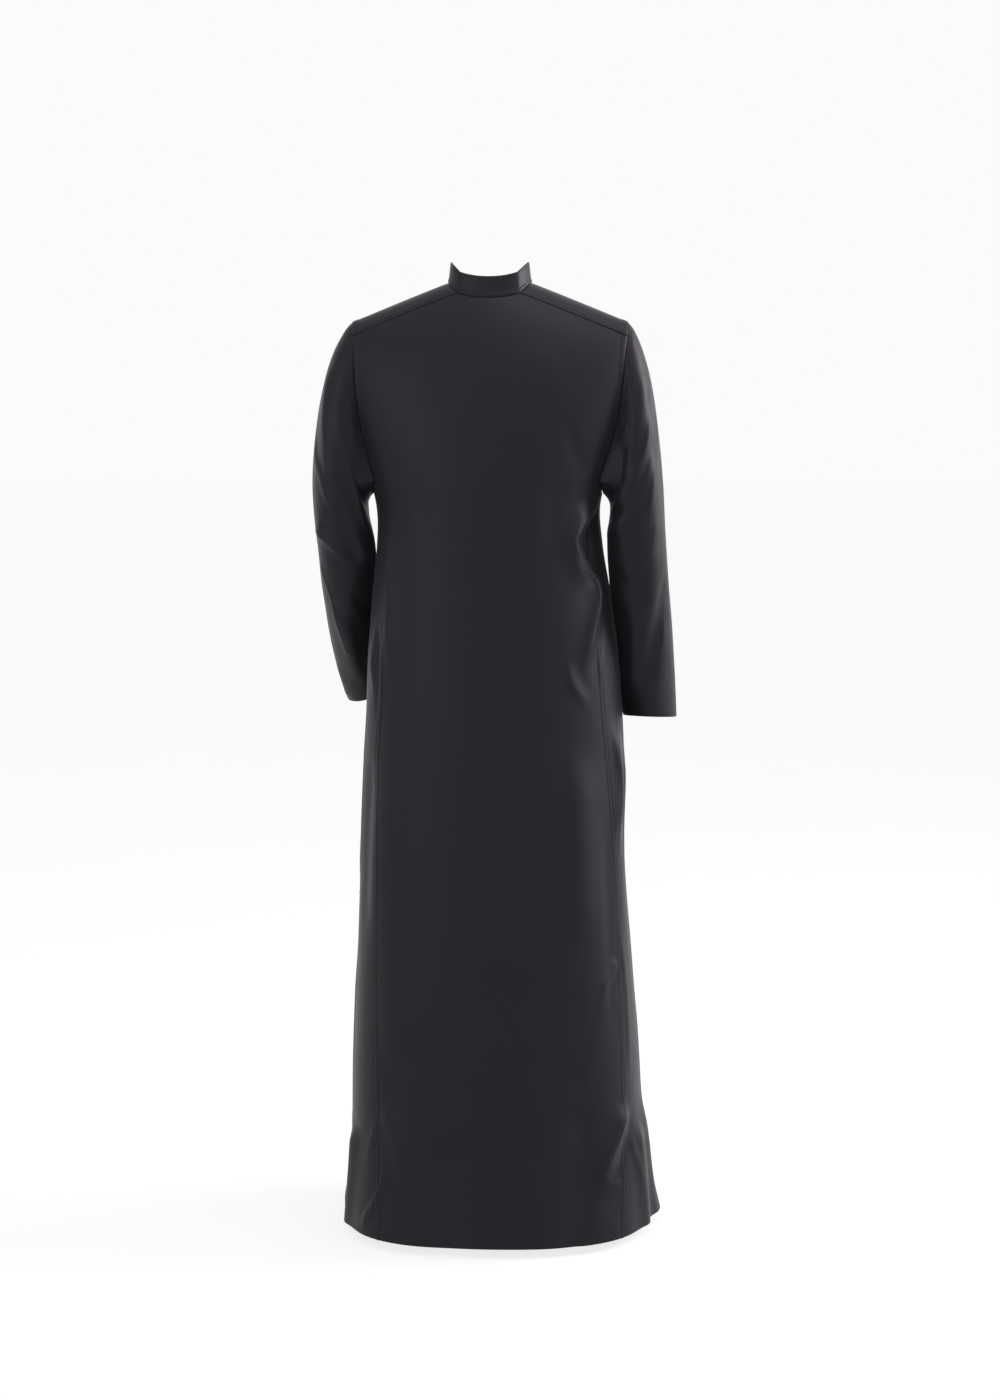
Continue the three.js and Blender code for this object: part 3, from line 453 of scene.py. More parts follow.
FRONT_CREASES = creases(
    Side.FRONT,
    [
        (((-166, -330), (-146, -360), (-128, -392), (-134, -430), (-150, -470), (-154, -520)),
         dict(width=7, height=3.2, skew=0.35, start=0.15, end=0.4, hollow=0.3)),
        (((164, -332), (142, -362), (124, -392), (128, -432), (144, -474), (150, -530)),
         dict(width=7, height=3.2, skew=-0.35, start=0.15, end=0.4)),
        (((-60, -400), (-70, -520), (-78, -660), (-74, -800)), dict(width=15, height=2.2, crest=7)),
        (((56, -400), (66, -540), (72, -680), (70, -820)), dict(width=15, height=2.2, crest=7)),
        (((-28, -660), (-36, -780), (-34, -900), (-26, -1020)), dict(width=15, height=-2.0, crest=7)),
        (((24, -690), (34, -820), (32, -940), (26, -1080)), dict(width=15, height=-2.0, crest=7)),
        (((-132, -120), (-118, -170), (-112, -230)), dict(width=11, height=-2.2, crest=5)),
        (((132, -120), (118, -170), (112, -230)), dict(width=11, height=-2.2, crest=5)),
        (((-170, -1240), (-150, -1300), (-124, -1350), (-100, -1410)),
         dict(width=8, height=2.8, skew=0.3, crest=2.6)),
        (((168, -1250), (148, -1308), (122, -1356), (96, -1420)),
         dict(width=8, height=2.8, skew=-0.3, crest=2.6)),
        (((-48, -1100), (-52, -1220), (-50, -1340), (-54, -1500)),
         dict(width=13, height=-3.0, end=0.15, crest=6)),
        (((44, -1090), (50, -1210), (50, -1340), (54, -1500)),
         dict(width=13, height=-3.0, end=0.15, crest=6)),
        (((-96, -880), (-88, -960), (-84, -1040)), dict(width=10, height=1.6, crest=4)),
        (((92, -860), (84, -950), (80, -1030)), dict(width=10, height=1.6, crest=4)),
    ],
)
FINE_BODY_FOLDS = [*BACK_CREASES, *RIGHT_CREASES, *LEFT_CREASES, *FRONT_CREASES]

SLEEVE_FOLDS_LEFT = [
    *folds(
        Side.SLEEVE,
        [
            (0.2, 20, 0.36, 46, 0.5, 84, 13, 6, 0.4, 0.3),
            (0.3, 96, 0.42, 118, 0.5, 150, 13, -5),
            (0.54, 30, 0.53, 80, 0.54, 128, 10, -7, 0.3),
            (0.578, 4, 0.566, 50, 0.572, 116, 9, 3.4, 0.5),
            (0.46, -60, 0.52, -100, 0.58, -150, 12, -7, 0.3),
            (0.6, -80, 0.62, -110, 0.66, -150, 11, 5, 0.3),
            (0.7, 60, 0.8, 76, 0.93, 70, 13, 4, 0.3, 0.3),
            (0.7, -60, 0.8, -74, 0.92, -66, 13, 4),
        ],
    ),
    *creases(
        Side.SLEEVE,
        [
            (((0.36, 6), (0.42, 17), (0.445, 40), (0.472, 58), (0.488, 82), (0.486, 104)),
             dict(width=5, height=3.0, skew=0.3, start=0.2, end=0.35, hollow=0.4)),
            (((0.578, 12), (0.572, 34), (0.566, 62), (0.566, 90), (0.572, 118)),
             dict(width=4, height=2.6, skew=0.4, start=0.3, end=0.4, crest=1.4)),
            (((0.62, 24), (0.65, 33), (0.68, 52), (0.74, 58), (0.785, 65), (0.82, 66)),
             dict(width=3.2, height=1.8, start=0.2, end=0.25, crest=1.1)),
            (((0.805, 60), (0.812, 72), (0.818, 86)), dict(width=3, height=1.0, crest=1.2)),
            (((0.24, 84), (0.32, 98), (0.4, 106), (0.46, 116)), dict(width=8, height=-2.6, crest=4)),
            (((0.62, 110), (0.68, 128), (0.74, 150)), dict(width=8, height=-2.4, crest=4)),
            (((0.1, 66), (0.16, 90), (0.24, 100)), dict(width=9, height=-2.4, crest=4)),
            (((0.1, -60), (0.16, -88), (0.26, -104)), dict(width=10, height=-2.6, crest=4)),
            (((0.24, -30), (0.34, -48), (0.44, -62)), dict(width=9, height=2.8, skew=-0.3, crest=3)),
            (((0.5, -170), (0.515, -130), (0.525, -90), (0.53, -56)),
             dict(width=4.5, height=3.0, skew=0.3, start=0.2, end=0.5, crest=1.6)),
            (((0.56, -168), (0.57, -130), (0.58, -100)),
             dict(width=4.5, height=-2.6, start=0.2, end=0.5, crest=1.8)),
            (((0.86, 20), (0.92, 28), (0.99, 24)), dict(width=9, height=1.6, end=0.15, crest=4)),
            (((0.72, -20), (0.84, -34), (0.96, -30)), dict(width=9, height=1.8, crest=4)),
        ],
    ),
]
SLEEVE_FOLDS_RIGHT = [
    *folds(
        Side.SLEEVE,
        [
            (0.15, 100, 0.24, 110, 0.34, 112, 11, -5, 0.3),
            (0.18, 40, 0.36, 48, 0.56, 52, 17, 5, 0.3, 0.2),
            (0.285, 176, 0.34, 140, 0.4, 98, 10, -7, 0.4),
            (0.345, 176, 0.385, 138, 0.43, 96, 10, 5, 0.4),
            (0.6, 20, 0.72, 60, 0.9, 100, 14, -5),
            (0.62, 100, 0.76, 120, 0.92, 140, 14, 5, 0.2),
            (0.2, -100, 0.32, -110, 0.42, -106, 13, -5),
            (0.4, -150, 0.45, -110, 0.48, -60, 12, -6, 0.3),
            (0.62, -30, 0.74, -60, 0.9, -84, 14, 4),
        ],
    ),
    *creases(
        Side.SLEEVE,
        [
            (((0.2, 15), (0.3, 26), (0.345, 42), (0.368, 64), (0.37, 88), (0.355, 108)),
             dict(width=5.5, height=2.8, skew=0.2, start=0.2, end=0.35, hollow=0.45)),
            (((0.31, 7), (0.375, 14), (0.42, 40), (0.468, 60), (0.5, 70)),
             dict(width=5, height=2.2, skew=0.3, crest=1.8)),
            (((0.318, 174), (0.352, 150), (0.385, 126), (0.412, 104), (0.43, 84)),
             dict(width=4, height=2.6, skew=0.3, start=0.1, end=0.55, crest=1.3)),
            (((0.06, 78), (0.12, 90), (0.2, 96)),
             dict(width=6, height=3.0, skew=-0.3, start=0.3, end=0.5, crest=2, hollow=0.4)),
            (((0.03, 44), (0.07, 50), (0.13, 52)), dict(width=6, height=-2.4, start=0.5, crest=2)),
            (((0.49, 30), (0.53, 52), (0.56, 76), (0.575, 96)),
             dict(width=7, height=1.4, skew=0.3, crest=3)),
            (((0.5, 140), (0.56, 124), (0.62, 112)), dict(width=7, height=-1.8, crest=3)),
            (((0.62, 26), (0.66, 48), (0.7, 66), (0.77, 84), (0.86, 100), (0.95, 110)),
             dict(width=8, height=-1.8, start=0.3, end=0.4, crest=3)),
            (((0.7, 40), (0.74, 46), (0.78, 54)), dict(width=4, height=1.1, crest=1.6)),
            (((0.33, -172), (0.37, -140), (0.41, -110), (0.44, -84)),
             dict(width=4.5, height=3.0, skew=-0.3, start=0.15, end=0.5, crest=1.6)),
            (((0.1, -60), (0.16, -88), (0.26, -104)), dict(width=10, height=-2.6, crest=4)),
            (((0.5, -50), (0.58, -66), (0.66, -90)), dict(width=7, height=2.0, crest=3)),
            (((0.8, -20), (0.88, -28), (0.98, -24)), dict(width=10, height=1.6, crest=5)),
        ],
    ),
]


class Ripples:
    """Faint waves that keep a hanging cloth from looking pressed, fixed by a seed."""

    def __init__(self, seed: int, wide: tuple[float, float], tall: tuple[float, float]) -> None:
        """Take a seed and the ranges of wave length across and along, in millimetres."""
        random = np.random.default_rng(seed)
        across = 2 * math.pi / random.uniform(*wide, 9)
        turn = random.uniform(0, 2 * math.pi, 9)
        along = 2 * math.pi / random.uniform(*tall, 9) * random.choice([-1, 1], 9)
        self.waves = np.stack([across * np.cos(turn), across * np.sin(turn), along], axis=1)
        self.phases = random.uniform(0, 2 * math.pi, 9)

    def height(self, points: Array) -> Array:
        """Return the waves' height, about -1 to 1, at points."""
        return np.sin(points @ self.waves.T + self.phases).mean(axis=-1) * 2


# ------------------------------------------------------------------------------ grids of cloth


class Edge(Enum):
    """How a border of a piece of cloth is finished."""

    PLAIN = "seam, this side lying under"
    FELLED = "seam, this side raised and stitched down"
    HEM = "turned up and blind-stitched"
    FREE = "folded edge"


@dataclass
class Cloth:
    """A piece of cloth as rows and columns of points on its outer face."""

    name: str
    points: Array
    closed: bool = False
    cut: Optional[Array] = None
    normals: Array = field(default_factory=lambda: np.zeros(0))
    relief: Array = field(default_factory=lambda: np.zeros(0))
    backing: Array = field(default_factory=lambda: np.zeros(0))

    def quads(self) -> Array:
        """Return the corners of every quad that isn't cut away, as indices of flat points."""
        rows, columns = self.points.shape[:2]
        index = np.arange(rows * columns).reshape(rows, columns)
        if self.closed:
            index = np.concatenate([index, index[:, :1]], axis=1)
        quads = np.stack([index[:-1, :-1], index[:-1, 1:], index[1:, 1:], index[1:, :-1]], axis=-1)
        kept = quads if self.cut is None else quads[~self.cut]
        return kept.reshape(-1, 4)

    def across(self) -> Array:
        """Return each point's distance along its row from the first column."""
        steps = np.linalg.norm(np.diff(self.points, axis=1), axis=-1)
        return np.concatenate([np.zeros((len(steps), 1)), np.cumsum(steps, axis=1)], axis=1)

    def along(self) -> Array:
        """Return each point's distance along its column from the first row."""
        steps = np.linalg.norm(np.diff(self.points, axis=0), axis=-1)
        return np.concatenate([np.zeros((1, steps.shape[1])), np.cumsum(steps, axis=0)], axis=0)

    def round_length(self) -> Array:
        """Return the length of each row, all round where the piece is a tube."""
        lengths = self.across()[:, -1]
        if self.closed:
            lengths = lengths + np.linalg.norm(self.points[:, -1] - self.points[:, 0], axis=-1)
        return lengths

    def area(self) -> float:
        """Return the cloth's area in square metres."""
        a, b, c, d = (self.points.reshape(-1, 3)[self.quads()[:, i]] for i in range(4))
        return float(np.linalg.norm(np.cross(c - a, d - b), axis=-1).sum() / 2 * MM * MM)

    def flat_size(self) -> tuple[float, float]:
        """Return the width and the length of the cut in metres."""
        return float(self.round_length().max() * MM), float(self.along()[-1].max() * MM)

    def finish_edges(
        self, finishes: dict[str, Edge], hem_depth: float = 25.0, fell_width: float = FELL_WIDTH
    ) -> None:
        """Raise or roll the cloth along its borders.

        Args:
            finishes: The finish of each border, by the names top, bottom, first and last.
            hem_depth: How far a hem is turned up.
            fell_width: How wide the raised strip of a felled seam is.
        """
        across, along = self.across(), self.along()
        places = {
            "top": along,
            "bottom": along[-1:] - along,
            "first": across,
            "last": across[:, -1:] - across,
        }
        self.relief = np.zeros(across.shape)
        self.backing = np.zeros(across.shape)
        for border, finish in finishes.items():
            distance = places[border]
            if finish is Edge.PLAIN:
                self.relief -= 0.75 * bump(distance, 1.3)
            elif finish is Edge.FELLED:
                self.relief += 0.75 * ledge(distance, fell_width) - 0.75 * bump(distance, 0.8)
                self.relief -= 0.3 * bump(distance - fell_width + 1.2, 0.8)
            elif finish is Edge.HEM:
                self.relief += 0.12 * ledge(distance, hem_depth, 4.0) - 0.5 * bump(distance, 1.2)
                self.relief -= 0.08 * bump(distance - hem_depth + 1.5, 1.4)
                self.backing += 0.8 * ledge(distance, hem_depth, 0.8)
            else:
                self.relief -= 0.6 * bump(distance, 1.0)


def share_normals(pieces: Sequence[Cloth]) -> None:
    """Give every piece its outward directions, one and the same where pieces share a point."""
    points = np.concatenate([p.points.reshape(-1, 3) for p in pieces])
    keys = np.round(points * 50 + 0.137).astype(np.int64)
    _, same = np.unique(keys, axis=0, return_inverse=True)
    same = same.reshape(-1)
    sums = np.zeros((same.max() + 1, 3))
    start = 0
    for piece in pieces:
        flat = piece.points.reshape(-1, 3)
        quads = piece.quads()
        a, b, c, d = (flat[quads[:, i]] for i in range(4))
        outward = unit(np.cross(b - d, c - a))
        for i in range(4):
            np.add.at(sums, same[start + quads[:, i]], outward)
        start += len(flat)
    shared = unit(sums)[same]
    start = 0
    for piece in pieces:
        size = piece.points.shape[0] * piece.points.shape[1]
        piece.normals = shared[start : start + size].reshape(piece.points.shape)
        start += size


class FoldField:
    """Folds laid on a surface, which tells how far the cloth rises at any point of it."""

    def __init__(self, rows: Sequence[Fold], place: Callable[[Fold, Array], Array]) -> None:
        """Take the folds and a function that puts a fold's coordinates onto the surface."""
        self.crests = [(fold, place(fold, fold.places())) for fold in rows]

    def rise(self, points: Array, normals: Array) -> Array:
        """Return how far the cloth rises at points, given its outward directions there."""
        flat, out = points.reshape(-1, 3), normals.reshape(-1, 3)
        total = np.zeros(len(flat))
        for fold, crest in self.crests:
            low, high = crest.min(0) - fold.reach(), crest.max(0) + fold.reach()
            near = np.all((flat > low) & (flat < high), axis=1)
            if near.any():
                total[near] += self._one(fold, crest, flat[near], out[near])
        return total.reshape(points.shape[:-1])

    @staticmethod
    def _one(fold: Fold, crest: Array, points: Array, normals: Array) -> Array:
        """Return one fold's rise at points near it."""
        least = np.full(len(points), np.inf)
        place = np.zeros(len(points))
        turn = np.zeros(len(points))
        for i, (start, end) in enumerate(zip(crest[:-1], crest[1:])):
            step = end - start
            t = np.clip((points - start) @ step / max(step @ step, 1e-9), 0, 1)
            offset = points - start - t[:, None] * step
            distance = np.linalg.norm(offset, axis=1)
            closer = distance < least
            least = np.where(closer, distance, least)
            place = np.where(closer, (i + t) / (len(crest) - 1), place)
            way = np.einsum("ij,ij->i", np.cross(step, offset), normals)
            turn = np.where(closer, way, turn)
        return fold.rise(place, least * np.where(turn < 0, -1, 1))


class Rest:
    """Cloth that other cloth lies against and doesn't pass."""

    def __init__(self, pieces: Sequence[Cloth], reach: float = 30.0) -> None:
        """Take the pieces lain against, and how far from them others are looked at."""
        self.points = np.concatenate([piece.points.reshape(-1, 3) for piece in pieces])
        self.normals = np.concatenate([piece.normals.reshape(-1, 3) for piece in pieces])
        self.reach = reach
        self.tree = KDTree(len(self.points))
        for i, point in enumerate(self.points):
            self.tree.insert(point, i)
        self.tree.balance()

    def keep_off(self, points: Array, below: float, space: float = 0.6) -> Array:
        """Return points moved out of the cloth they would pass.

        Args:
            points: Points of the cloth that lies against the pieces.
            below: Height above which nothing is moved.
            space: Distance kept from the pieces.
        """
        flat = points.reshape(-1, 3).copy()
        low, high = self.points.min(0) - self.reach, self.points.max(0) + self.reach
        inside = np.all((flat > low) & (flat < high), axis=1) & (flat[:, 2] < below)
        for i in np.flatnonzero(inside):
            _, nearest, distance = self.tree.find(flat[i])
            gap = (flat[i] - self.points[nearest]) @ self.normals[nearest]
            if distance < self.reach and gap < space:
                flat[i] += self.normals[nearest] * (space - gap)
        return flat.reshape(points.shape)


# ------------------------------------------------------------------------------ the body's form


@dataclass(frozen=True)
class BodyForm:
    """The worn garment's surface from neck to hem."""

    hem_z: float = -1460.0
    side_seam_top_z: float = -300.0
    underarm_drop: float = 22.0
    arch_start_z: float = -330.0
    arch_power: float = 2.2
    shoulder_slope: float = 0.414
    shoulder_softening: float = 30.0
    neck_half_width: float = 64.0
    neck_back_corner: float = 47.0
    neck_front_corner: float = 51.0
    neck_back_z: float = -23.0
    neck_front_z: float = -76.0
    neckline_power: float = 2.2
    yoke_drop_back: float = 22.0
    yoke_drop_front: float = 38.0
    neckline_columns_back: int = 15
    neckline_columns_front: int = 12
    placket_half_width: float = 17.0
    slit_half_width: float = 1.5
    upper_rows: float = 7.0
    lower_rows: float = 20.0

    def ridge(self, x: Number) -> Array:
        """Return the shoulder ridge's height at a distance from the middle."""
        at_neck = math.hypot(self.neck_half_width, self.shoulder_softening)
        return self.shoulder_slope * (at_neck - np.hypot(x, self.shoulder_softening))

    def half_width(self, x: Number, z: Number) -> Array:
        """Return the half width on the side of x at a height."""
        return np.where(np.asarray(x) < 0, GIRTH.read("right", z), GIRTH.read("left", z))

    def corner(self, is_back: Union[bool, Array]) -> Array:
        """Return where the neckline meets the shoulder strip."""
        return np.where(is_back, self.neck_back_corner, self.neck_front_corner)

    def drop(self, is_back: Union[bool, Array]) -> Array:
        """Return how far the shoulder strip's seam lies below the ridge."""
        return np.where(is_back, self.yoke_drop_back, self.yoke_drop_front)

    def point(self, x: Number, z: Number, is_back: Union[bool, Array]) -> Array:
        """Return points of the body with given x and height, on the back or the front."""
        x, z, is_back = np.broadcast_arrays(x, z, is_back)
        depth = np.where(is_back, GIRTH.read("back", z), GIRTH.read("front", z))
        power = GIRTH.read("power", z)
        across = np.minimum(np.abs(x) / self.half_width(x, z), 1)
        around = np.power(1 - np.power(across, power), 1 / power)
        rise = np.clip((z - self.arch_start_z) / (self.ridge(x) - self.arch_start_z), 0, 1)
        arch = np.power(1 - np.power(rise, self.arch_power), 1 / self.arch_power)
        return np.stack([x, np.where(is_back, 1, -1) * depth * around * arch, z], axis=-1)

    def side_point(self, y: Number, z: Number, is_left: bool) -> Array:
        """Return points of a side at a distance behind the middle, or before it if negative."""
        depth = np.where(np.asarray(y) > 0, GIRTH.read("back", z), GIRTH.read("front", z))
        power = GIRTH.read("power", z)
        around = np.power(1 - np.power(np.minimum(np.abs(y) / depth, 1), power), 1 / power)
        side = 1.0 if is_left else -1.0
        return np.stack([side * self.half_width(side, z) * around, y, z], axis=-1)

    def edge(self, is_back: Union[bool, Array], is_left: bool, z: Number) -> Array:
        """Return the distance from the middle to a panel's edge at a height."""
        back = PANEL_EDGES.read("backLeft" if is_left else "backRight", z)
        share = np.where(is_back, back, PANEL_EDGES.read("front", z))
        return share * self.half_width(1.0 if is_left else -1.0, z)

    def yoke_z(self, x: Number, across: Number) -> Array:
        """Return the shoulder strip's height, with across from -1 at its back to 1 at its front."""
        return self.ridge(x) - self.drop(np.asarray(across) < 0) * np.square(across)

    def yoke_armhole(self, across: Number, is_left: bool) -> Array:
        """Return where the armhole crosses the shoulder strip."""
        is_back = np.asarray(across) < 0
        x = self.edge(is_back, is_left, self.ridge(self.neck_half_width))
        for _ in range(6):
            x = self.edge(is_back, is_left, self.yoke_z(x, across))
        return x

    def top_z(self, x: Array, is_back: bool) -> Array:
        """Return the height of a panel's top edge: the neckline, then the shoulder strip's seam."""
        corner = float(self.corner(is_back))
        distance = np.abs(x)
        drop = float(self.drop(is_back))
        middle = self.neck_back_z if is_back else self.neck_front_z
        share = np.power(np.minimum(distance / corner, 1), self.neckline_power)
        neckline = mix(middle, self.ridge(corner) - drop, share)
        return np.where(distance >= corner, self.ridge(distance) - drop, neckline)

    def half_panel(self, is_back: bool, is_left: bool, shares: Array, rows: Array) -> Array:
        """Return half of the back or front panel, from the middle outwards.

        Args:
            is_back: The back panel, or else the front one.
            is_left: The wearer's left half.
            shares: Columns past the neckline, as shares of the way to the armhole.
            rows: Rows, 0 at the top edge, 7 at the top of the side seams and 27 at the hem.

        Returns:
            Rows of points.
        """
        side = 1.0 if is_left else -1.0
        end = -1.0 if is_back else 1.0
        armhole = float(self.yoke_armhole(end, is_left))
        inner = 0.0 if is_back else self.placket_half_width
        corner = float(self.corner(is_back))
        columns = self.neckline_columns_back if is_back else self.neckline_columns_front
        neckline = np.linspace(inner, corner, columns)
        if not is_back:
            band = np.linspace(self.slit_half_width, inner, BAND_COLUMNS)
            neckline = np.concatenate([band, neckline[1:]])
        tops = np.concatenate([neckline, mix(corner, armhole, shares[1:])])
        upper = np.clip(rows / self.upper_rows, 0, 1)[:, None]
        lower = np.clip((rows - self.upper_rows) / self.lower_rows, 0, 1)[:, None]
        below = mix(self.side_seam_top_z, self.hem_z, lower)
        edge_z = mix(float(self.yoke_z(armhole, end)), below, upper)
        z = mix(self.top_z(tops, is_back)[None], below, upper)
        share = (tops[None] - inner) / (armhole - inner)
        spread = mix(inner, self.edge(is_back, is_left, edge_z), share)
        x = np.where(tops[None] <= inner, tops[None], spread)
        return self.point(side * x, z, is_back)

    def panel(self, is_back: bool, shares: Array, rows: Array) -> Array:
        """Return the whole back or front panel as rows of points, with outward-facing order."""
        left = self.half_panel(is_back, True, shares, rows)
        right = self.half_panel(is_back, False, shares, rows)[:, ::-1]
        if is_back:
            return np.concatenate([right[:, :-1], left], axis=1)
        return np.concatenate([right, left], axis=1)[:, ::-1]

    def gore(self, is_left: bool, is_back: bool, turns: Array, lower: Array) -> Array:
        """Return a side gore, from the panel's seam to the side seam, with outward-facing order."""
        side = 1.0 if is_left else -1.0
        top = self.side_seam_top_z - self.underarm_drop * np.sin(turns * math.pi / 2)
        z = mix(top[None], self.hem_z, lower[:, None])
        wide = self.half_width(side, z)
        power = GIRTH.read("power", z)
        seam = np.arcsin(np.power(self.edge(is_back, is_left, z) / wide, power / 2))
        angle = mix(seam, math.pi / 2, turns[None])
        x = side * wide * np.power(np.sin(angle), 2 / power)
        points = self.point(x, z, is_back)
        return points if is_left == is_back else points[:, ::-1]

    def yoke(self, is_left: bool, shares: Array, across: Array) -> Array:
        """Return a shoulder strip: rows from the neck to the armhole, columns back to front."""
        side = 1.0 if is_left else -1.0
        neck = mix(self.neck_half_width, self.corner(across < 0), np.square(across))
        armhole = self.yoke_armhole(across, is_left)
        x = mix(neck[None], armhole[None], shares[:, None])
        points = self.point(side * x, self.yoke_z(x, across[None]), across[None] < 0)
        return points if is_left else points[:, ::-1]

    def fold_place(self, fold: Fold, places: Array) -> Array:
        """Return a fold's line on the body's surface."""
        if fold.side in (Side.LEFT, Side.RIGHT):
            return self.side_point(places[:, 0], places[:, 1], fold.side is Side.LEFT)
        return self.point(places[:, 0], places[:, 1], fold.side is Side.BACK)


@dataclass(frozen=True)
class SleeveForm:
    """A sleeve from its armhole to its cuff, through sections that turn from the armhole's own
    shape into ovals."""

    stations: Table
    side: float
    power: float = 2.3
    cuff_power: float = 1.72
    pressed_from: float = 0.5
    pressed_at: float = 0.88
    oval_from: float = 0.32
    fold_start: float = 0.12
    axis_step: float = 0.03

    @classmethod
    def from_rows(cls, rows: Sequence[Sequence[float]], is_left: bool) -> "SleeveForm":
        """Make the form from rows of sections, evenly spaced from armhole to cuff."""
        spaced = [(i / (len(rows) - 1), *row) for i, row in enumerate(rows)]
        return cls(Table(SLEEVE_COLUMNS, spaced), 1.0 if is_left else -1.0)

    def read(self, names: str, at: Array) -> Array:
        """Return three columns as points at shares of the way."""
        return np.stack([self.stations.read(name, at) for name in names.split()], axis=-1)

    def middle(self, at: Array) -> Array:
        """Return the sections' middles."""
        return (self.read("outX outY outZ", at) + self.read("inX inY inZ", at)) / 2

    def section(self, at: Array) -> dict[str, Array]:
        """Return the frames and half sizes of sections at shares of the way."""
        outer, inner = self.read("outX outY outZ", at), self.read("inX inY inZ", at)
        ahead = self.middle(np.minimum(at + self.axis_step, 1))
        behind = self.middle(np.maximum(at - self.axis_step, 0))
        outward = unit(outer - inner)
        backward = unit(np.cross(outward, ahead - behind)) * self.side
        return {
            "middle": self.middle(at),
            "outward": outward,
            "backward": backward,
            "onward": np.cross(backward, outward) * self.side,
            "wide": np.linalg.norm(outer - inner, axis=-1)[..., None] / 2,
            "deep": self.stations.read("half", at)[..., None],
            "power": mix(self.power, self.cuff_power, self.pressed(at))[..., None],
        }

    def pressed(self, at: Array) -> Array:
        """Return how far the sections have come to the cuff's lens shape, with pressed edges."""
        return smooth_step((at - self.pressed_from) / (self.pressed_at - self.pressed_from))

    def around(self, section: dict[str, Array], angle: Array) -> Array:
        """Return points round sections, at angles from the outermost point towards the back."""
        def rounded(value: Array) -> Array:
            """Return a signed power that squares the oval off a little, or sharpens its ends."""
            power = 2 / section["power"][..., 0]
            return (np.sign(value) * np.power(np.abs(value), power))[..., None]

        return (
            section["middle"]
            + section["outward"] * section["wide"] * rounded(np.cos(angle))
            + section["backward"] * section["deep"] * rounded(np.sin(angle))
        )

    def fold_place(self, fold: Fold, places: Array) -> Array:
        """Return a fold's line on the sleeve."""
        return self.around(self.section(places[:, 0]), np.radians(places[:, 1]))

    def unfolded(self, loop: Array, turns: Array, shares: Array) -> tuple[Array, Array]:
        """Return the sleeve before its folds, and the directions away from its axis.

        Args:
            loop: The armhole's points.
            turns: The share of the way round, from the underarm over the back, of each of them.
            shares: Rows, 0 at the armhole and 1 at the cuff.
        """
        first = self.section(np.array(0.0))
        offset = loop - first["middle"]
        u = offset @ first["outward"] / first["wide"][0]
        v = offset @ first["backward"] / first["deep"][0]
        w = offset @ first["onward"]
        even = math.pi - 2 * math.pi * turns
        own = np.arctan2(v, u)
        own = own + 2 * math.pi * np.round((even - own) / (2 * math.pi))
        section = {key: value[:, None] for key, value in self.section(shares).items()}
        oval = smooth_step(shares / self.oval_from)[:, None]
        on_oval = self.around(section, mix(own[None], even[None], oval))
        carried = (
            section["middle"]
            + section["outward"] * section["wide"] * u[None, :, None]
            + section["backward"] * section["deep"] * v[None, :, None]
            + section["onward"] * (w[None] * (1 - oval))[..., None]
        )
        points = mix(carried, on_oval, oval[..., None])
        points[0] = loop
        return points, unit(points - section["middle"])


# ------------------------------------------------------------------------------ meshes


def add_object(name: str, data: Any) -> bpy.types.Object:
    """Add an object with its data to the scene and return it."""
    made = bpy.data.objects.new(name, data)
    bpy.context.scene.collection.objects.link(made)
    return made


def make_object(name: str, vertices: Array, faces: Sequence[Sequence[int]]) -> bpy.types.Object:
    """Make a mesh object at the origin from vertices in metres."""
    mesh = bpy.data.meshes.new(name)
    mesh.from_pydata(vertices.tolist(), [], faces)
    mesh.update()
    return add_object(name, mesh)


def shell(cloth: Cloth, thickness: float) -> bpy.types.Object:
    """Make a closed cloth wall, with a UV map in metres of cloth.

    Args:
        cloth: The piece, with its outward directions and edge relief.
        thickness: Thickness of the cloth.
    """
    count = cloth.points.shape[0] * cloth.points.shape[1]
    outer = cloth.points + cloth.normals * cloth.relief[..., None]
    inner = cloth.points - cloth.normals * (thickness + cloth.backing)[..., None]
    quads = cloth.quads()
    starts, ends = quads.reshape(-1), np.roll(quads, -1, axis=1).reshape(-1)
    total = 2 * count
    is_border = ~np.isin(starts * total + ends, ends * total + starts)
    starts, ends = starts[is_border], ends[is_border]
    rim = np.stack([starts, starts + count, ends + count, ends], axis=1)
    faces = np.concatenate([quads, quads[:, ::-1] + count, rim])
    made = make_object(
        cloth.name,
        np.concatenate([outer.reshape(-1, 3), inner.reshape(-1, 3)]) * MM,
        faces.tolist(),
    )
    across, along = cloth.across(), cloth.along()
    u = (across - across[:, -1:] / 2).reshape(-1) * MM
    v = -along.reshape(-1) * MM
    corners = faces.reshape(-1) % count
    loops = np.stack([u[corners], v[corners]], axis=1).reshape(-1, 4, 2)
    if cloth.closed:
        wide = (cloth.round_length() * MM)[corners.reshape(-1, 4) // cloth.points.shape[1]]
        spread = loops[..., 0].max(axis=1, keepdims=True) - loops[..., 0]
        loops[..., 0] += np.where(spread > wide / 2, wide, 0)
    layer = made.data.uv_layers.new(name="cloth")
    layer.data.foreach_set("uv", loops.reshape(-1))
    made.data.shade_smooth()
    made.data.set_sharp_from_angle(angle=math.radians(48))
    return made


# ------------------------------------------------------------------------------ shader helpers


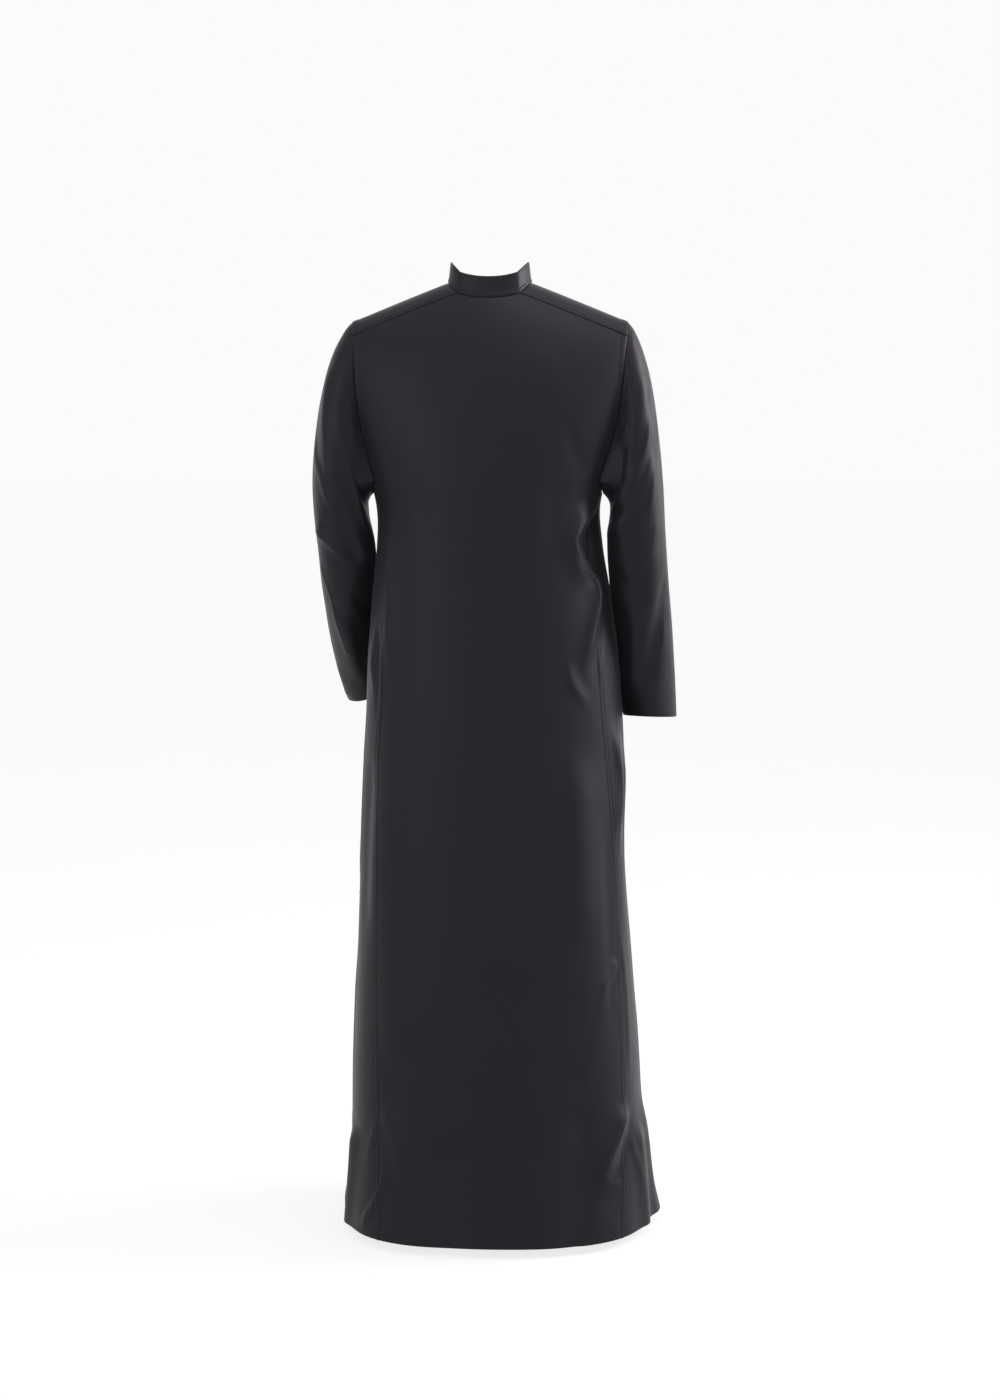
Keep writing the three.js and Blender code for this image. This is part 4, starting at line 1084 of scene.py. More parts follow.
class Value:
    """A shader's number that takes part in arithmetic."""

    def __init__(self, tree: "Finish", socket: bpy.types.NodeSocket) -> None:
        """Wrap an output socket of a material's tree."""
        self.tree = tree
        self.socket = socket

    def _math(self, operation: str, first: Any, second: Any = None) -> "Value":
        """Return the result of a Math node."""
        values = {0: first} if second is None else {0: first, 1: second}
        node = self.tree.node("ShaderNodeMath", {"operation": operation}, values)
        return Value(self.tree, node.outputs[0])

    def __add__(self, other: Any) -> "Value":
        """Add a number or a value."""
        return self._math("ADD", self, other)

    __radd__ = __add__

    def __sub__(self, other: Any) -> "Value":
        """Take a number or a value away."""
        return self._math("SUBTRACT", self, other)

    def __rsub__(self, other: Any) -> "Value":
        """Take this value away from a number."""
        return self._math("SUBTRACT", other, self)

    def __mul__(self, other: Any) -> "Value":
        """Multiply by a number or a value."""
        return self._math("MULTIPLY", self, other)

    __rmul__ = __mul__

    def sine(self) -> "Value":
        """Return the sine."""
        return self._math("SINE", self)

    def absolute(self) -> "Value":
        """Return the size without the sign."""
        return self._math("ABSOLUTE", self)


def add_node(
    tree: bpy.types.NodeTree, kind: str, settings: dict[str, Any], values: dict[Any, Any]
) -> bpy.types.Node:
    """Add a node to a tree.

    Args:
        tree: The tree.
        kind: The node's type.
        settings: Its properties, set first.
        values: Its inputs by name or index, as values, sockets or plain numbers.

    Returns:
        The node.
    """
    made = tree.nodes.new(kind)
    for key, setting in settings.items():
        setattr(made, key, setting)
    for key, value in values.items():
        socket = value.socket if isinstance(value, Value) else value
        if isinstance(socket, bpy.types.NodeSocket):
            tree.links.new(socket, made.inputs[key])
        else:
            made.inputs[key].default_value = value
    return made


class Finish:
    """A material and its shader tree while it is being made."""

    def __init__(self, name: str) -> None:
        """Start an empty material."""
        self.material = bpy.data.materials.new(name)
        self.material.use_nodes = True
        self.tree = self.material.node_tree
        self.tree.nodes.clear()

    def node(self, kind: str, settings: dict[str, Any], values: dict[Any, Any]) -> bpy.types.Node:
        """Add a node with its properties and inputs, and return it."""
        return add_node(self.tree, kind, settings, values)

    def place(self) -> bpy.types.NodeSocket:
        """Return the place on the object itself."""
        return self.node("ShaderNodeTexCoord", {}, {}).outputs["Object"]

    def blend(self, share: Value, dark: Color, light: Color) -> bpy.types.NodeSocket:
        """Return the colour that lies a share of the way from a dark to a light one."""
        values = {0: share, 6: dark, 7: light}
        return self.node("ShaderNodeMix", {"data_type": "RGBA"}, values).outputs[2]

    def raised(self, height: Value, strength: float, depth: float) -> bpy.types.NodeSocket:
        """Return outward directions bent by a relief of the given depth."""
        values = {"Strength": strength, "Distance": depth, "Height": height}
        return self.node("ShaderNodeBump", {}, values).outputs[0]

    def noise(self, vector: bpy.types.NodeSocket, scale: float, detail: float) -> Value:
        """Return a noise, about 0 to 1, over a vector."""
        values = {"Vector": vector, "Scale": scale, "Detail": detail, "Roughness": 0.55}
        return Value(self, self.node("ShaderNodeTexNoise", {}, values).outputs[0])

    def surface(self, values: dict[str, Any]) -> bpy.types.Material:
        """End the tree in a Principled BSDF with the given inputs, and return the material."""
        shader = self.node("ShaderNodeBsdfPrincipled", {}, values)
        self.node("ShaderNodeOutputMaterial", {}, {"Surface": shader.outputs[0]})
        return self.material


@dataclass(frozen=True)
class SuitingFinish:
    """Near-black worsted suiting: a fine twill with a soft sheen."""

    name: str = "black_suiting"
    dark: Color = (0.0130, 0.0108, 0.0143, 1.0)
    light: Color = (0.0222, 0.0187, 0.0242, 1.0)
    roughness: float = 0.47
    twill_pitch: float = 0.85
    bump_depth: float = 0.00004

    def make(self) -> bpy.types.Material:
        """Return the material, woven along the piece's own UV map."""
        finish = Finish(self.name)
        uv = finish.node("ShaderNodeUVMap", {"uv_map": "cloth"}, {}).outputs[0]
        settings = {"operation": "MULTIPLY"}
        cloth = finish.node("ShaderNodeVectorMath", settings, {0: uv, 1: (1000.0, 1000.0, 1.0)})
        streaked = finish.node(
            "ShaderNodeVectorMath", settings, {0: uv, 1: (1300.0, 130.0, 1.0)}
        )
        parts = finish.node("ShaderNodeSeparateXYZ", {}, {0: cloth.outputs[0]})
        u, v = (Value(finish, parts.outputs[i]) for i in range(2))
        wave = 2 * math.pi / self.twill_pitch
        twill = ((u + v * 0.9) * wave).sine()
        thread = (u * (wave * 1.9)).sine().absolute()
        slub = finish.noise(streaked.outputs[0], 1.0, 3.0)
        cloud = finish.noise(cloth.outputs[0], 0.012, 3.0)
        weave = twill * 0.35 + thread * 0.25 + slub * 0.6
        tone = finish.blend(slub * 0.6 + cloud * 0.4, self.dark, self.light)
        return finish.surface(
            {
                "Base Color": tone,
                "Roughness": cloud * 0.10 + slub * 0.06 + (self.roughness - 0.08),
                "Normal": finish.raised(weave, 0.55, self.bump_depth),
                "Specular IOR Level": 0.38,
                "Specular Tint": (0.96, 0.89, 1.0, 1.0),
                "Sheen Weight": 0.16,
                "Sheen Roughness": 0.42,
                "Sheen Tint": (0.76, 0.69, 0.80, 1.0),
            }
        )


@dataclass(frozen=True)
class ThreadFinish:
    """Polyester sewing thread in the cloth's own colour."""

    name: str = "black_thread"
    color: Color = (0.020, 0.0185, 0.021, 1.0)

    def make(self) -> bpy.types.Material:
        """Return the material, with the twist of the thread as a fine bump."""
        finish = Finish(self.name)
        twist = finish.noise(finish.place(), 2400.0, 1.0)
        return finish.surface(
            {
                "Base Color": self.color,
                "Roughness": twist * 0.1 + 0.36,
                "Normal": finish.raised(twist, 0.4, 0.00005),
                "Sheen Weight": 0.1,
            }
        )


@dataclass(frozen=True)
class ButtonFinish:
    """Polished dark polyester with a faint horn-like cloud."""

    name: str = "dark_button"
    dark: Color = (0.007, 0.0065, 0.0075, 1.0)
    light: Color = (0.026, 0.023, 0.025, 1.0)

    def make(self) -> bpy.types.Material:
        """Return the material."""
        finish = Finish(self.name)
        cloud = finish.noise(finish.place(), 260.0, 3.0)
        return finish.surface(
            {
                "Base Color": finish.blend(cloud, self.dark, self.light),
                "Roughness": cloud * 0.12 + 0.2,
                "Coat Weight": 0.25,
                "Coat Roughness": 0.12,
            }
        )


@dataclass(frozen=True)
class FloorFinish:
    """Matte white studio floor, lit from within so that it runs into the background."""

    name: str = "studio_white"
    tone: float = 0.32
    glow: float = 0.80

    def make(self) -> bpy.types.Material:
        """Return the material."""
        finish = Finish(self.name)
        grain = finish.noise(finish.place(), 3.0, 2.0)
        dark, light = ((self.tone + change,) * 3 + (1.0,) for change in (-0.01, 0.01))
        return finish.surface(
            {
                "Base Color": finish.blend(grain, dark, light),
                "Roughness": 0.9,
                "Specular IOR Level": 0.0,
                "Emission Color": (1.0, 1.0, 1.0, 1.0),
                "Emission Strength": self.glow,
            }
        )


# ------------------------------------------------------------------------------ stitches


@dataclass
class StitchLine:
    """A path of thread on the cloth, with how its stitches are set."""

    points: Array
    pitch: float = 3.1
    length: float = 2.5
    thread: float = 0.3


class StitchTree:
    """A Geometry Nodes tree that lays stitches along the edges of a path."""

    def __init__(self, thread: bpy.types.Material) -> None:
        """Build the tree, with the thread's material."""
        self.tree = bpy.data.node_groups.new("stitch_path", "GeometryNodeTree")
        face = self.tree.interface
        face.new_socket("Path", in_out="INPUT", socket_type="NodeSocketGeometry")
        self.inputs = {
            name: face.new_socket(name, in_out="INPUT", socket_type="NodeSocketFloat").identifier
            for name in ("Pitch", "Stitch length", "Thread radius")
        }
        face.new_socket("Stitches", in_out="OUTPUT", socket_type="NodeSocketGeometry")
        given = self._node("NodeGroupInput", {}, {})
        curve = self._node("GeometryNodeMeshToCurve", {}, {0: given.outputs["Path"]})
        spaced = self._node(
            "GeometryNodeResampleCurve",
            {"mode": "LENGTH"},
            {"Curve": curve.outputs[0], "Length": given.outputs["Pitch"]},
        )
        tangent = self._node("GeometryNodeInputTangent", {}, {})
        turn = self._node(
            "FunctionNodeAlignRotationToVector", {"axis": "Z"}, {"Vector": tangent.outputs[0]}
        )
        shape = self._node(
            "GeometryNodeMeshUVSphere", {}, {"Segments": 6, "Rings": 4, "Radius": 1.0}
        )
        size = self._node(
            "ShaderNodeCombineXYZ",
            {},
            {
                0: given.outputs["Thread radius"],
                1: given.outputs["Thread radius"],
                2: given.outputs["Stitch length"],
            },
        )
        placed = self._node(
            "GeometryNodeInstanceOnPoints",
            {},
            {
                "Points": spaced.outputs[0],
                "Instance": shape.outputs["Mesh"],
                "Rotation": turn.outputs[0],
                "Scale": size.outputs[0],
            },
        )
        real = self._node("GeometryNodeRealizeInstances", {}, {0: placed.outputs[0]})
        dressed = self._node(
            "GeometryNodeSetMaterial", {}, {"Geometry": real.outputs[0], "Material": thread}
        )
        self._node("NodeGroupOutput", {}, {0: dressed.outputs[0]})

    def _node(self, kind: str, settings: dict[str, Any], values: dict[Any, Any]) -> bpy.types.Node:
        """Add a node, set its properties and then its inputs, and return it."""
        return add_node(self.tree, kind, settings, values)

    def sew(self, name: str, line: StitchLine) -> tuple[Array, list[tuple[int, ...]]]:
        """Return the stitches of one line as vertices and faces of a plain mesh."""
        path = bpy.data.meshes.new(name)
        count = len(line.points)
        edges = [(i, i + 1) for i in range(count - 1)]
        path.from_pydata((line.points * MM).tolist(), edges, [])
        holder = add_object(name, path)
        modifier = holder.modifiers.new("stitches", "NODES")
        modifier.node_group = self.tree
        modifier[self.inputs["Pitch"]] = line.pitch * MM
        modifier[self.inputs["Stitch length"]] = line.length / 2 * MM
        modifier[self.inputs["Thread radius"]] = line.thread * MM
        graph = bpy.context.evaluated_depsgraph_get()
        made = bpy.data.meshes.new_from_object(holder.evaluated_get(graph))
        vertices = np.empty(len(made.vertices) * 3)
        made.vertices.foreach_get("co", vertices)
        faces = [tuple(face.vertices) for face in made.polygons]
        holder.modifiers.clear()
        bpy.data.objects.remove(holder)
        bpy.data.meshes.remove(made)
        bpy.data.meshes.remove(path)
        return vertices.reshape(-1, 3), faces


@dataclass
class Stitching:
    """The stitches that show, kept line by line and sewn into one mesh for each piece."""

    tree: StitchTree
    material: bpy.types.Material
    lines: dict[str, list[StitchLine]] = field(default_factory=dict)

    def add(self, piece: str, line: StitchLine) -> None:
        """Keep a line for a piece."""
        self.lines.setdefault(piece, []).append(line)

    def follow(
        self,
        piece: str,
        cloth: Cloth,
        border: str,
        inset: float,
        lift: float,
        part: slice = slice(None),
    ) -> None:
        """Keep a line that follows one border of a piece.

        Args:
            piece: The piece that it is sewn on.
            cloth: The grid that it follows.
            border: The border: top, bottom, first or last.
            inset: Distance of the line from the border.
            lift: Height of the thread's middle over the cloth's unworked face.
            part: The stretch of the border, as a slice of its points.
        """
        turned = border in ("first", "last")
        distance = cloth.across() if turned else cloth.along()
        points, normals = cloth.points, cloth.normals
        if turned:
            distance, points = distance.T, points.transpose(1, 0, 2)
            normals = normals.transpose(1, 0, 2)
        place = distance[0] + inset if border in ("first", "top") else distance[-1] - inset
        after = np.clip((distance < place[None]).sum(axis=0), 1, len(distance) - 1)
        column = np.arange(distance.shape[1])
        low, high = distance[after - 1, column], distance[after, column]
        t = ((place - low) / np.maximum(high - low, 1e-9))[:, None]
        path = mix(points[after - 1, column], points[after, column], t)
        out = unit(mix(normals[after - 1, column], normals[after, column], t))
        path = (path + out * lift)[part]
        if cloth.closed and not turned:
            path = np.concatenate([path, path[:1]])
        self.add(piece, StitchLine(path))

    def sew(self, piece: str) -> list[bpy.types.Object]:
        """Sew a piece's lines and return the object in a list, which is empty without lines."""
        vertices, faces, start = [], [], 0
        for i, line in enumerate(self.lines.get(piece, [])):
            some, corners = self.tree.sew(f"{piece}_path_{i}", line)
            vertices.append(some)
            faces.extend(tuple(start + c for c in corner) for corner in corners)
            start += len(some)
        if not vertices:
            return []
        sewn = make_object(f"stitches_{piece}", np.concatenate(vertices), faces)
        sewn.data.shade_smooth()
        sewn.data.materials.append(self.material)
        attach(sewn, "root")
        LOG.info("%s: %d faces", sewn.name, len(faces))
        return [sewn]


# ------------------------------------------------------------------------------ the garment


@dataclass
class Tailor:
    """What all cloth pieces share: the cloth, its thickness, and how a piece is sewn up."""

    finish: bpy.types.Material
    stitching: Stitching
    thickness: float = 1.1

    def dress(self, node: str, cloth: Cloth, thickness: float = 0) -> None:
        """Args:
            node: The node that it replaces.
            cloth: The piece.
            thickness: Its own thickness, if it isn't the cloth's.
        """
        made = shell(cloth, thickness or self.thickness)
        made.data.materials.append(self.finish)
        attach(made, "root")
        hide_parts(node)
        width, length = cloth.flat_size()
        area = min(cloth.area(), width * length)
        self.stitching.sew(node)
        LOG.info("%s: %.3f x %.3f m, %.4f m2", cloth.name, width, length, area)


@dataclass
class Body:
    """Back, front, side gores and shoulder strips."""

    form: BodyForm = field(default_factory=BodyForm)
    ripples: Ripples = field(default_factory=lambda: Ripples(11, (120, 300), (500, 1400)))
    near: tuple[float, ...] = (0.7, 1.5, 2.6, 4.6, 5.6, 6.6, 7.4, 8.4)
    strip_near: tuple[float, ...] = (0.7, 1.5, 2.6, 7.6, 8.6, 9.6, 10.4, 11.4)
    hem_near: tuple[float, ...] = (0.7, 1.6, 3.0, 22.5, 23.6, 25.0, 26.2)
    strip_width: float = 9.8
    pieces: dict[str, Cloth] = field(default_factory=dict)

    def __post_init__(self) -> None:
        """Cut the pieces and lay their folds."""
        form = self.form
        self.shares = lined(42, 148, (0.7, 1.5, 2.6), self.near, 0.78)
        self.lower = lined(248, 1160, (0.7, 1.5, 2.6), self.hem_near)
        upper = lined(38, 218, self.near, ())[:-1]
        self.rows = np.concatenate([upper * form.upper_rows, form.upper_rows + form.lower_rows * self.lower])
        self.upper_count = len(upper)
        self.turns = lined(28, 105, self.near, self.near)
        behind, before = (lined(n, w, (), self.strip_near) for n, w in ((12, 50), (18, 70)))
        self.across = np.concatenate([-behind[::-1], before[1:]])
        for is_back, name in ((True, "back"), (False, "front")):
            self.pieces[name] = Cloth(f"cloth_{name}", form.panel(is_back, self.shares, self.rows))
        for is_left, side in ((True, "left"), (False, "right")):
            for is_back, end in ((True, "back"), (False, "front")):
                points = form.gore(is_left, is_back, self.turns, self.lower)
                self.pieces[f"gore_{end}_{side}"] = Cloth(f"cloth_gore_{end}_{side}", points)
            points = form.yoke(is_left, self.shares, self.across)
            self.pieces[f"yoke_{side}"] = Cloth(f"cloth_yoke_{side}", points)
        self.cut_slit()
        share_normals(list(self.pieces.values()))
        self.folds = FoldField([*LARGE_BODY_FOLDS, *FINE_BODY_FOLDS], form.fold_place)
        for piece in self.pieces.values():
            piece.points = self.folded(piece.points, piece.normals)

    def cut_slit(self) -> None:
        """Leave the front open along its slit."""
        front = self.pieces["front"]
        rows, columns = front.points.shape[:2]
        front.cut = np.zeros((rows - 1, columns - 1), dtype=bool)
        front.cut[self.rows[:-1] < self.form.upper_rows + 0.9, columns // 2 - 1] = True

    def folded(self, points: Array, normals: Array) -> Array:
        """Return points of the unfolded body moved out onto the folds and faint waves."""
        rise = self.folds.rise(points, normals)
        loose = smooth_step((-points[..., 2] - 120) / 500)
        away = np.clip(np.abs(points[..., 0]) / 200, 0, 1)
        rise = rise + self.ripples.height(points) * loose * mix(0.5, 1.9, away)
        return points + normals * rise[..., None]

    def armhole(self, is_left: bool) -> tuple[Array, Array]:
        """Return an armhole's points and their shares of the way round from the underarm."""
        side = "left" if is_left else "right"

        def row(name: str, flip: bool, place: int) -> Array:
            """Return one row of a piece, turned about if asked."""
            line = self.pieces[f"{name}_{side}"].points[place]
            return line[::-1] if flip else line

        back = self.pieces["back"].points[: self.upper_count, -1 if is_left else 0]
        front = self.pieces["front"].points[: self.upper_count, 0 if is_left else -1]
        rows = self.rows[: self.upper_count]
        behind = GORE_STEPS + self.form.upper_rows
        before = behind + YOKE_STEPS
        last = before + self.form.upper_rows
        parts = [
            (row("gore_back", is_left, 0), GORE_STEPS * (1 - self.turns[::-1])),
            (back[::-1], behind - rows[::-1]),
            (row("yoke", not is_left, -1)[1:], behind + YOKE_STEPS / 2 * (self.across[1:] + 1)),
            (front[1:], before + rows[1:]),
            (row("gore_front", is_left, 0)[:-1], last + GORE_STEPS * self.turns[:-1]),
        ]
        points = np.concatenate([part for part, _ in parts])
        turns = np.concatenate([places for _, places in parts]) / (last + GORE_STEPS)
        if is_left:
            return points, turns
        return np.roll(points[::-1], 1, axis=0), np.roll(turns[::-1], 1)

    def flank(self, is_left: bool) -> Rest:
        """Return the side that a sleeve lies against."""
        side = "left" if is_left else "right"
        return Rest([self.pieces[f"gore_{end}_{side}"] for end in ("back", "front")])

    def neckline(self) -> Array:
        """Return the neckline from one side of the slit round the neck to the other."""
        shoulder = len(self.shares) - 1
        front = self.pieces["front"].points[0, shoulder:-shoulder]
        back = self.pieces["back"].points[0, shoulder:-shoulder]
        half = len(front) // 2
        right, left = (self.pieces[f"yoke_{side}"].points[0] for side in ("right", "left"))
        return np.concatenate([front[half:], right[1:], back[1:], left[1:], front[1:half]])

    def finish(self, tailor: Tailor) -> None:
        """Work the edges, sew the seams and dress every piece."""
        under, over, hem = Edge.PLAIN, Edge.FELLED, Edge.HEM
        panel = {"top": under, "bottom": hem, "first": over, "last": over}
        strip = {"top": under, "bottom": over, "first": over, "last": over}
        gore = {"top": under, "bottom": hem, "first": under, "last": under}
        strips = ("yoke_left", "yoke_right")
        sewing = tailor.stitching
        for name, piece in self.pieces.items():
            is_strip, is_panel = name in strips, name in ("back", "front")
            finishes = strip if is_strip else panel if is_panel else gore
            fell = self.strip_width if is_strip else FELL_WIDTH
            piece.finish_edges(finishes, fell_width=fell)
            if is_panel or is_strip:
                for border in ("first", "last"):
                    sewing.follow(name, piece, border, fell - FELL_INSET, FELL_LIFT)
            if is_strip:
                sewing.follow(name, piece, "bottom", fell - FELL_INSET, FELL_LIFT)
            tailor.dress(name, piece)


@dataclass
class Sleeve:
    """A long straight sleeve, set into its armhole."""

    node: str
    form: SleeveForm
    folds: list[Fold]
    seed: int
    hem_depth: float = 20.0
    near: tuple[float, ...] = (0.7, 1.5, 2.6, 4.0)
    hem_near: tuple[float, ...] = (0.7, 1.6, 3.0, 17.5, 18.6, 20.0, 21.2)
    lean: float = 0.0
    trim: float = 0.0
    trim_from: float = 0.72
    clear_below: float = -318.0
    lean_middle: float = 0.66
    lean_reach: float = 0.38
    ripple_height: float = 0.8

    def cut(self, armhole: Array, turns: Array, flank: Rest) -> Cloth:
        """Return the sleeve.

        Args:
            armhole: The armhole's points.
            turns: Their shares of the way round, from the underarm over the back.
            flank: The side of the body, which the sleeve lies against.
        """
        shares = lined(150, 620, self.near, self.hem_near)
        points, away = self.form.unfolded(armhole, turns, shares)
        rise = FoldField(self.folds, self.form.fold_place).rise(points, away)
        ripples = Ripples(self.seed, (60, 150), (160, 420))
        rise = rise + self.ripple_height * ripples.height(points)
        rise = rise * smooth_step(shares / self.form.fold_start)[:, None]
        rise = rise + self.lying(shares[:, None], away)
        points = points + self.trimmed(shares, points)
        points = flank.keep_off(points + away * rise[..., None], self.clear_below)
        self.cloth = Cloth(f"cloth_{self.node}", points, closed=True)
        return self.cloth

    def trimmed(self, shares: Array, points: Array) -> Array:
        """Return how the sides are let down along the sleeve, so that the cuff hangs level."""
        section = {key: value[:, None] for key, value in self.form.section(shares).items()}
        offset = points - section["middle"]
        behind = (offset * section["backward"]).sum(-1, keepdims=True) / section["deep"]
        along = smooth_step((shares - self.trim_from) / (1 - self.trim_from))[:, None, None]
        return self.trim * along * (1 - np.clip(behind, 0, 1)) * section["onward"]

    def lying(self, shares: Array, away: Array) -> Array:
        """Return how far the side next to the body swells until it lies against it."""
        along = np.clip(1 - np.square((shares - self.lean_middle) / self.lean_reach), 0, 1)
        inward = np.clip(-self.form.side * away[..., 0], 0, 1)
        return self.lean * along * np.square(inward)

    def finish(self, tailor: Tailor) -> None:
        """Work the cuff's hem and dress the sleeve."""
        finishes = {"top": Edge.PLAIN, "bottom": Edge.HEM}
        self.cloth.finish_edges(finishes, hem_depth=self.hem_depth)
        tailor.dress(self.node, self.cloth)


@dataclass
class Collar:
    """Low stand collar, leaning in towards the neck."""

    height: float = 32.0
    lean: float = 0.12
    neck_middle_y: float = -12.0
    band_half_width: float = 17.0
    blend: float = 22.0
    thickness: float = 1.5
    fell_width: float = 5.4
    stitch_inset: float = 4.2

    def cut(self, foot: Array) -> Cloth:
        """Return the collar on the neckline's points."""
        near = (0.5, 1.1, 2.0, 3.4, 4.4, 5.4, 6.4)
        rise = self.height * (1 - lined(12, self.height, near, near))
        beside = smooth_step((np.abs(foot[:, 0]) - self.band_half_width) / self.blend)
        inward = np.zeros_like(foot)
        inward[:, 0] = -foot[:, 0] * np.where(foot[:, 1] < 0, beside, 1)
        inward[:, 1] = self.neck_middle_y - foot[:, 1]
        inward = unit(inward)
        inward[:, 2] = 1 / self.lean
        points = foot[None] + rise[:, None, None] * self.lean * inward[None]
        self.cloth = Cloth("cloth_collar", points)
        return self.cloth

    def finish(self, tailor: Tailor) -> None:
        """Round the top, raise the foot's seam, topstitch both and dress the collar."""
        free, over = Edge.FREE, Edge.FELLED
        finishes = {"top": free, "bottom": over, "first": free, "last": free}
        self.cloth.finish_edges(finishes, fell_width=self.fell_width)
        for border, lift in (("top", FLAT_LIFT), ("bottom", FELL_LIFT)):
            tailor.stitching.follow("collar", self.cloth, border, self.stitch_inset, lift)
        tailor.dress("collar", self.cloth, self.thickness)


@dataclass
class Placket:
    """The strip over the front slit and the collar's ends, with its buttonholes."""

    lift: float = 1.9
    thickness: float = 1.0
    seat_lift: float = 2.25
    last_row: float = 8.0
    button_rows: tuple[float, ...] = (1.5, 3.5, 5.5)
    collar_button_rise: float = 8.0
    hole_half_length: float = 8.2
    stitch_inset: float = 2.6
    box_inset: float = 26.0

    def cut(self, body: Body, collar: Cloth) -> Cloth:
        """Return the strip, laid over the collar's ends and the front's middle columns."""
        front = body.pieces["front"]
        half = front.points.shape[1] // 2
        count = int((body.rows <= self.last_row + 0.02).sum())
        ends = np.r_[-BAND_COLUMNS:0, 0:BAND_COLUMNS]
        middle = slice(half - BAND_COLUMNS, half + BAND_COLUMNS)
        self.base = np.concatenate([collar.points[:-1, ends], front.points[:count, middle]])
        normals = np.concatenate([collar.normals[:-1, ends], front.normals[:count, middle]])
        self.cloth = Cloth("cloth_placket", self.base + normals * self.lift)
        self.cloth.normals = normals
        rows = body.rows[:count]
        at_collar = len(collar.points) - 1
        rise = collar.points[:-1, 0, 2] - collar.points[-1, 0, 2]
        self.button_places = [int(np.abs(rise - self.collar_button_rise).argmin())]
        for row in self.button_rows:
            self.button_places.append(at_collar + int(np.abs(rows - row).argmin()))
        return self.cloth

    def seats(self) -> list[Matrix]:
        """Return each button's place: its seat, with Z away from the cloth and Y up the strip."""
        seats = []
        for row in self.button_places:
            columns = slice(BAND_COLUMNS - 1, BAND_COLUMNS + 1)
            out = Vector(unit(self.cloth.normals[row, columns].sum(axis=0)))
            seat = Vector(self.base[row, columns].mean(axis=0)) + out * self.seat_lift
            side = Vector((0, 0, 1)).cross(out).normalized()
            turn = Matrix((side, out.cross(side), out)).transposed()
            seats.append(Matrix.Translation(seat) @ turn.to_4x4())
        return seats

    def finish(self, tailor: Tailor) -> None:
        """Round the edges, sew the strip down, work its buttonholes and dress it."""
        sewing, cloth = tailor.stitching, self.cloth
        cloth.finish_edges(dict.fromkeys(("top", "bottom", "first", "last"), Edge.FREE))
        for border in ("first", "last"):
            sewing.follow("placket", cloth, border, self.stitch_inset, FLAT_LIFT)
        sewing.follow("placket", cloth, "top", self.stitch_inset, FLAT_LIFT, slice(2, -2))
        for inset in (self.stitch_inset, self.box_inset):
            sewing.follow("placket", cloth, "bottom", inset, FLAT_LIFT, slice(2, -2))
        for seat in self.seats():
            for x in (-0.7, 0.7):
                ends = np.linspace(-self.hole_half_length, self.hole_half_length, 9)
                path = [seat @ Vector((x, y, self.lift - self.seat_lift + 0.1)) for y in ends]
                sewing.add("placket", StitchLine(np.array(path), 0.5, 1.1, 0.42))
        tailor.dress("placket", cloth, self.thickness)


@dataclass
class PocketBag:
    """The bag behind the pocket's mouth in the left side seam."""

    depth: float = 2.3
    thickness: float = 0.8
    top_row: float = 7.0
    bottom_row: float = 12.0
    behind: float = 0.64
    before: float = 0.62

    def cut(self, body: Body) -> Cloth:
        """Return the bag, laid inside both gores before the mouth is opened."""
        place = body.form.lower_rows * body.lower
        rows = (place >= self.top_row) & (place <= self.bottom_row)
        parts = []
        for name, reach in (("gore_back_left", self.behind), ("gore_front_left", self.before)):
            columns = body.turns > reach
            if name == "gore_front_left":
                columns = columns[::-1]
                columns[0] = False
            piece = body.pieces[name]
            parts.append((piece.points[rows][:, columns], piece.normals[rows][:, columns]))
        points, normals = (np.concatenate(pair, axis=1) for pair in zip(*parts))
        self.cloth = Cloth("cloth_pocket_left", points - normals * self.depth)
        self.cloth.normals = normals
        return self.cloth

    def finish(self, tailor: Tailor) -> None:
        """Dress the bag."""
        self.cloth.finish_edges(dict.fromkeys(("top", "bottom", "first", "last"), Edge.FREE))
        tailor.dress("pocket_left", self.cloth, self.thickness)


@dataclass
class PocketMouth:
    """The open stretch of the left side seam, its front edge standing out."""

    top: float = -777.0
    bottom: float = -951.0
    gape: float = 5.0
    reach: float = 30.0
    tack_length: float = 9.0
    stitch_inset: float = 6.0

    def open(self, body: Body) -> None:
        """Part the seam's edges."""
        for name, out, back in (("gore_back_left", 0.0, 0.25), ("gore_front_left", 0.5, 0.5)):
            piece = body.pieces[name]
            across, is_back = piece.across(), name == "gore_back_left"
            distance = across[:, -1:] - across if is_back else across
            seam = piece.points[:, -1] if is_back else piece.points[:, 0]
            inward = piece.points[:, -6] if is_back else piece.points[:, 5]
            t = (seam[:, 2] - self.bottom) / (self.top - self.bottom)
            lens = smooth_step(3 * np.minimum(t, 1 - t))[:, None]
            moved = np.power(np.clip(1 - distance / self.reach, 0, 1), 1.6) * lens * self.gape
            away = unit(inward - seam)[:, None]
            aside = away * (moved * back)[..., None] + piece.normals * (moved * out)[..., None]
            piece.points = piece.points + aside

    def sew(self, body: Body, sewing: Stitching) -> None:
        """Topstitch the front edge and tack both ends."""
        front, back = body.pieces["gore_front_left"], body.pieces["gore_back_left"]
        heights = front.points[:, 0, 2]
        open_rows = np.nonzero((heights < self.top) & (heights > self.bottom))[0]
        part = slice(int(open_rows[0]), int(open_rows[-1]) + 1)
        sewing.follow("gore_front_left", front, "first", self.stitch_inset, FLAT_LIFT, part)
        for row in (part.start, part.stop - 1):
            across = back.across()[row]
            place = np.linspace(0.4, self.tack_length, 8)
            line = [
                [np.interp(across[-1] - d, across, back.points[row, :, axis]) for axis in range(3)]
                for d in place
            ]
            out = back.normals[row, -1]
            sewing.add("gore_back_left", StitchLine(np.array(line) + out * 0.3, 0.45, 1.3, 0.45))


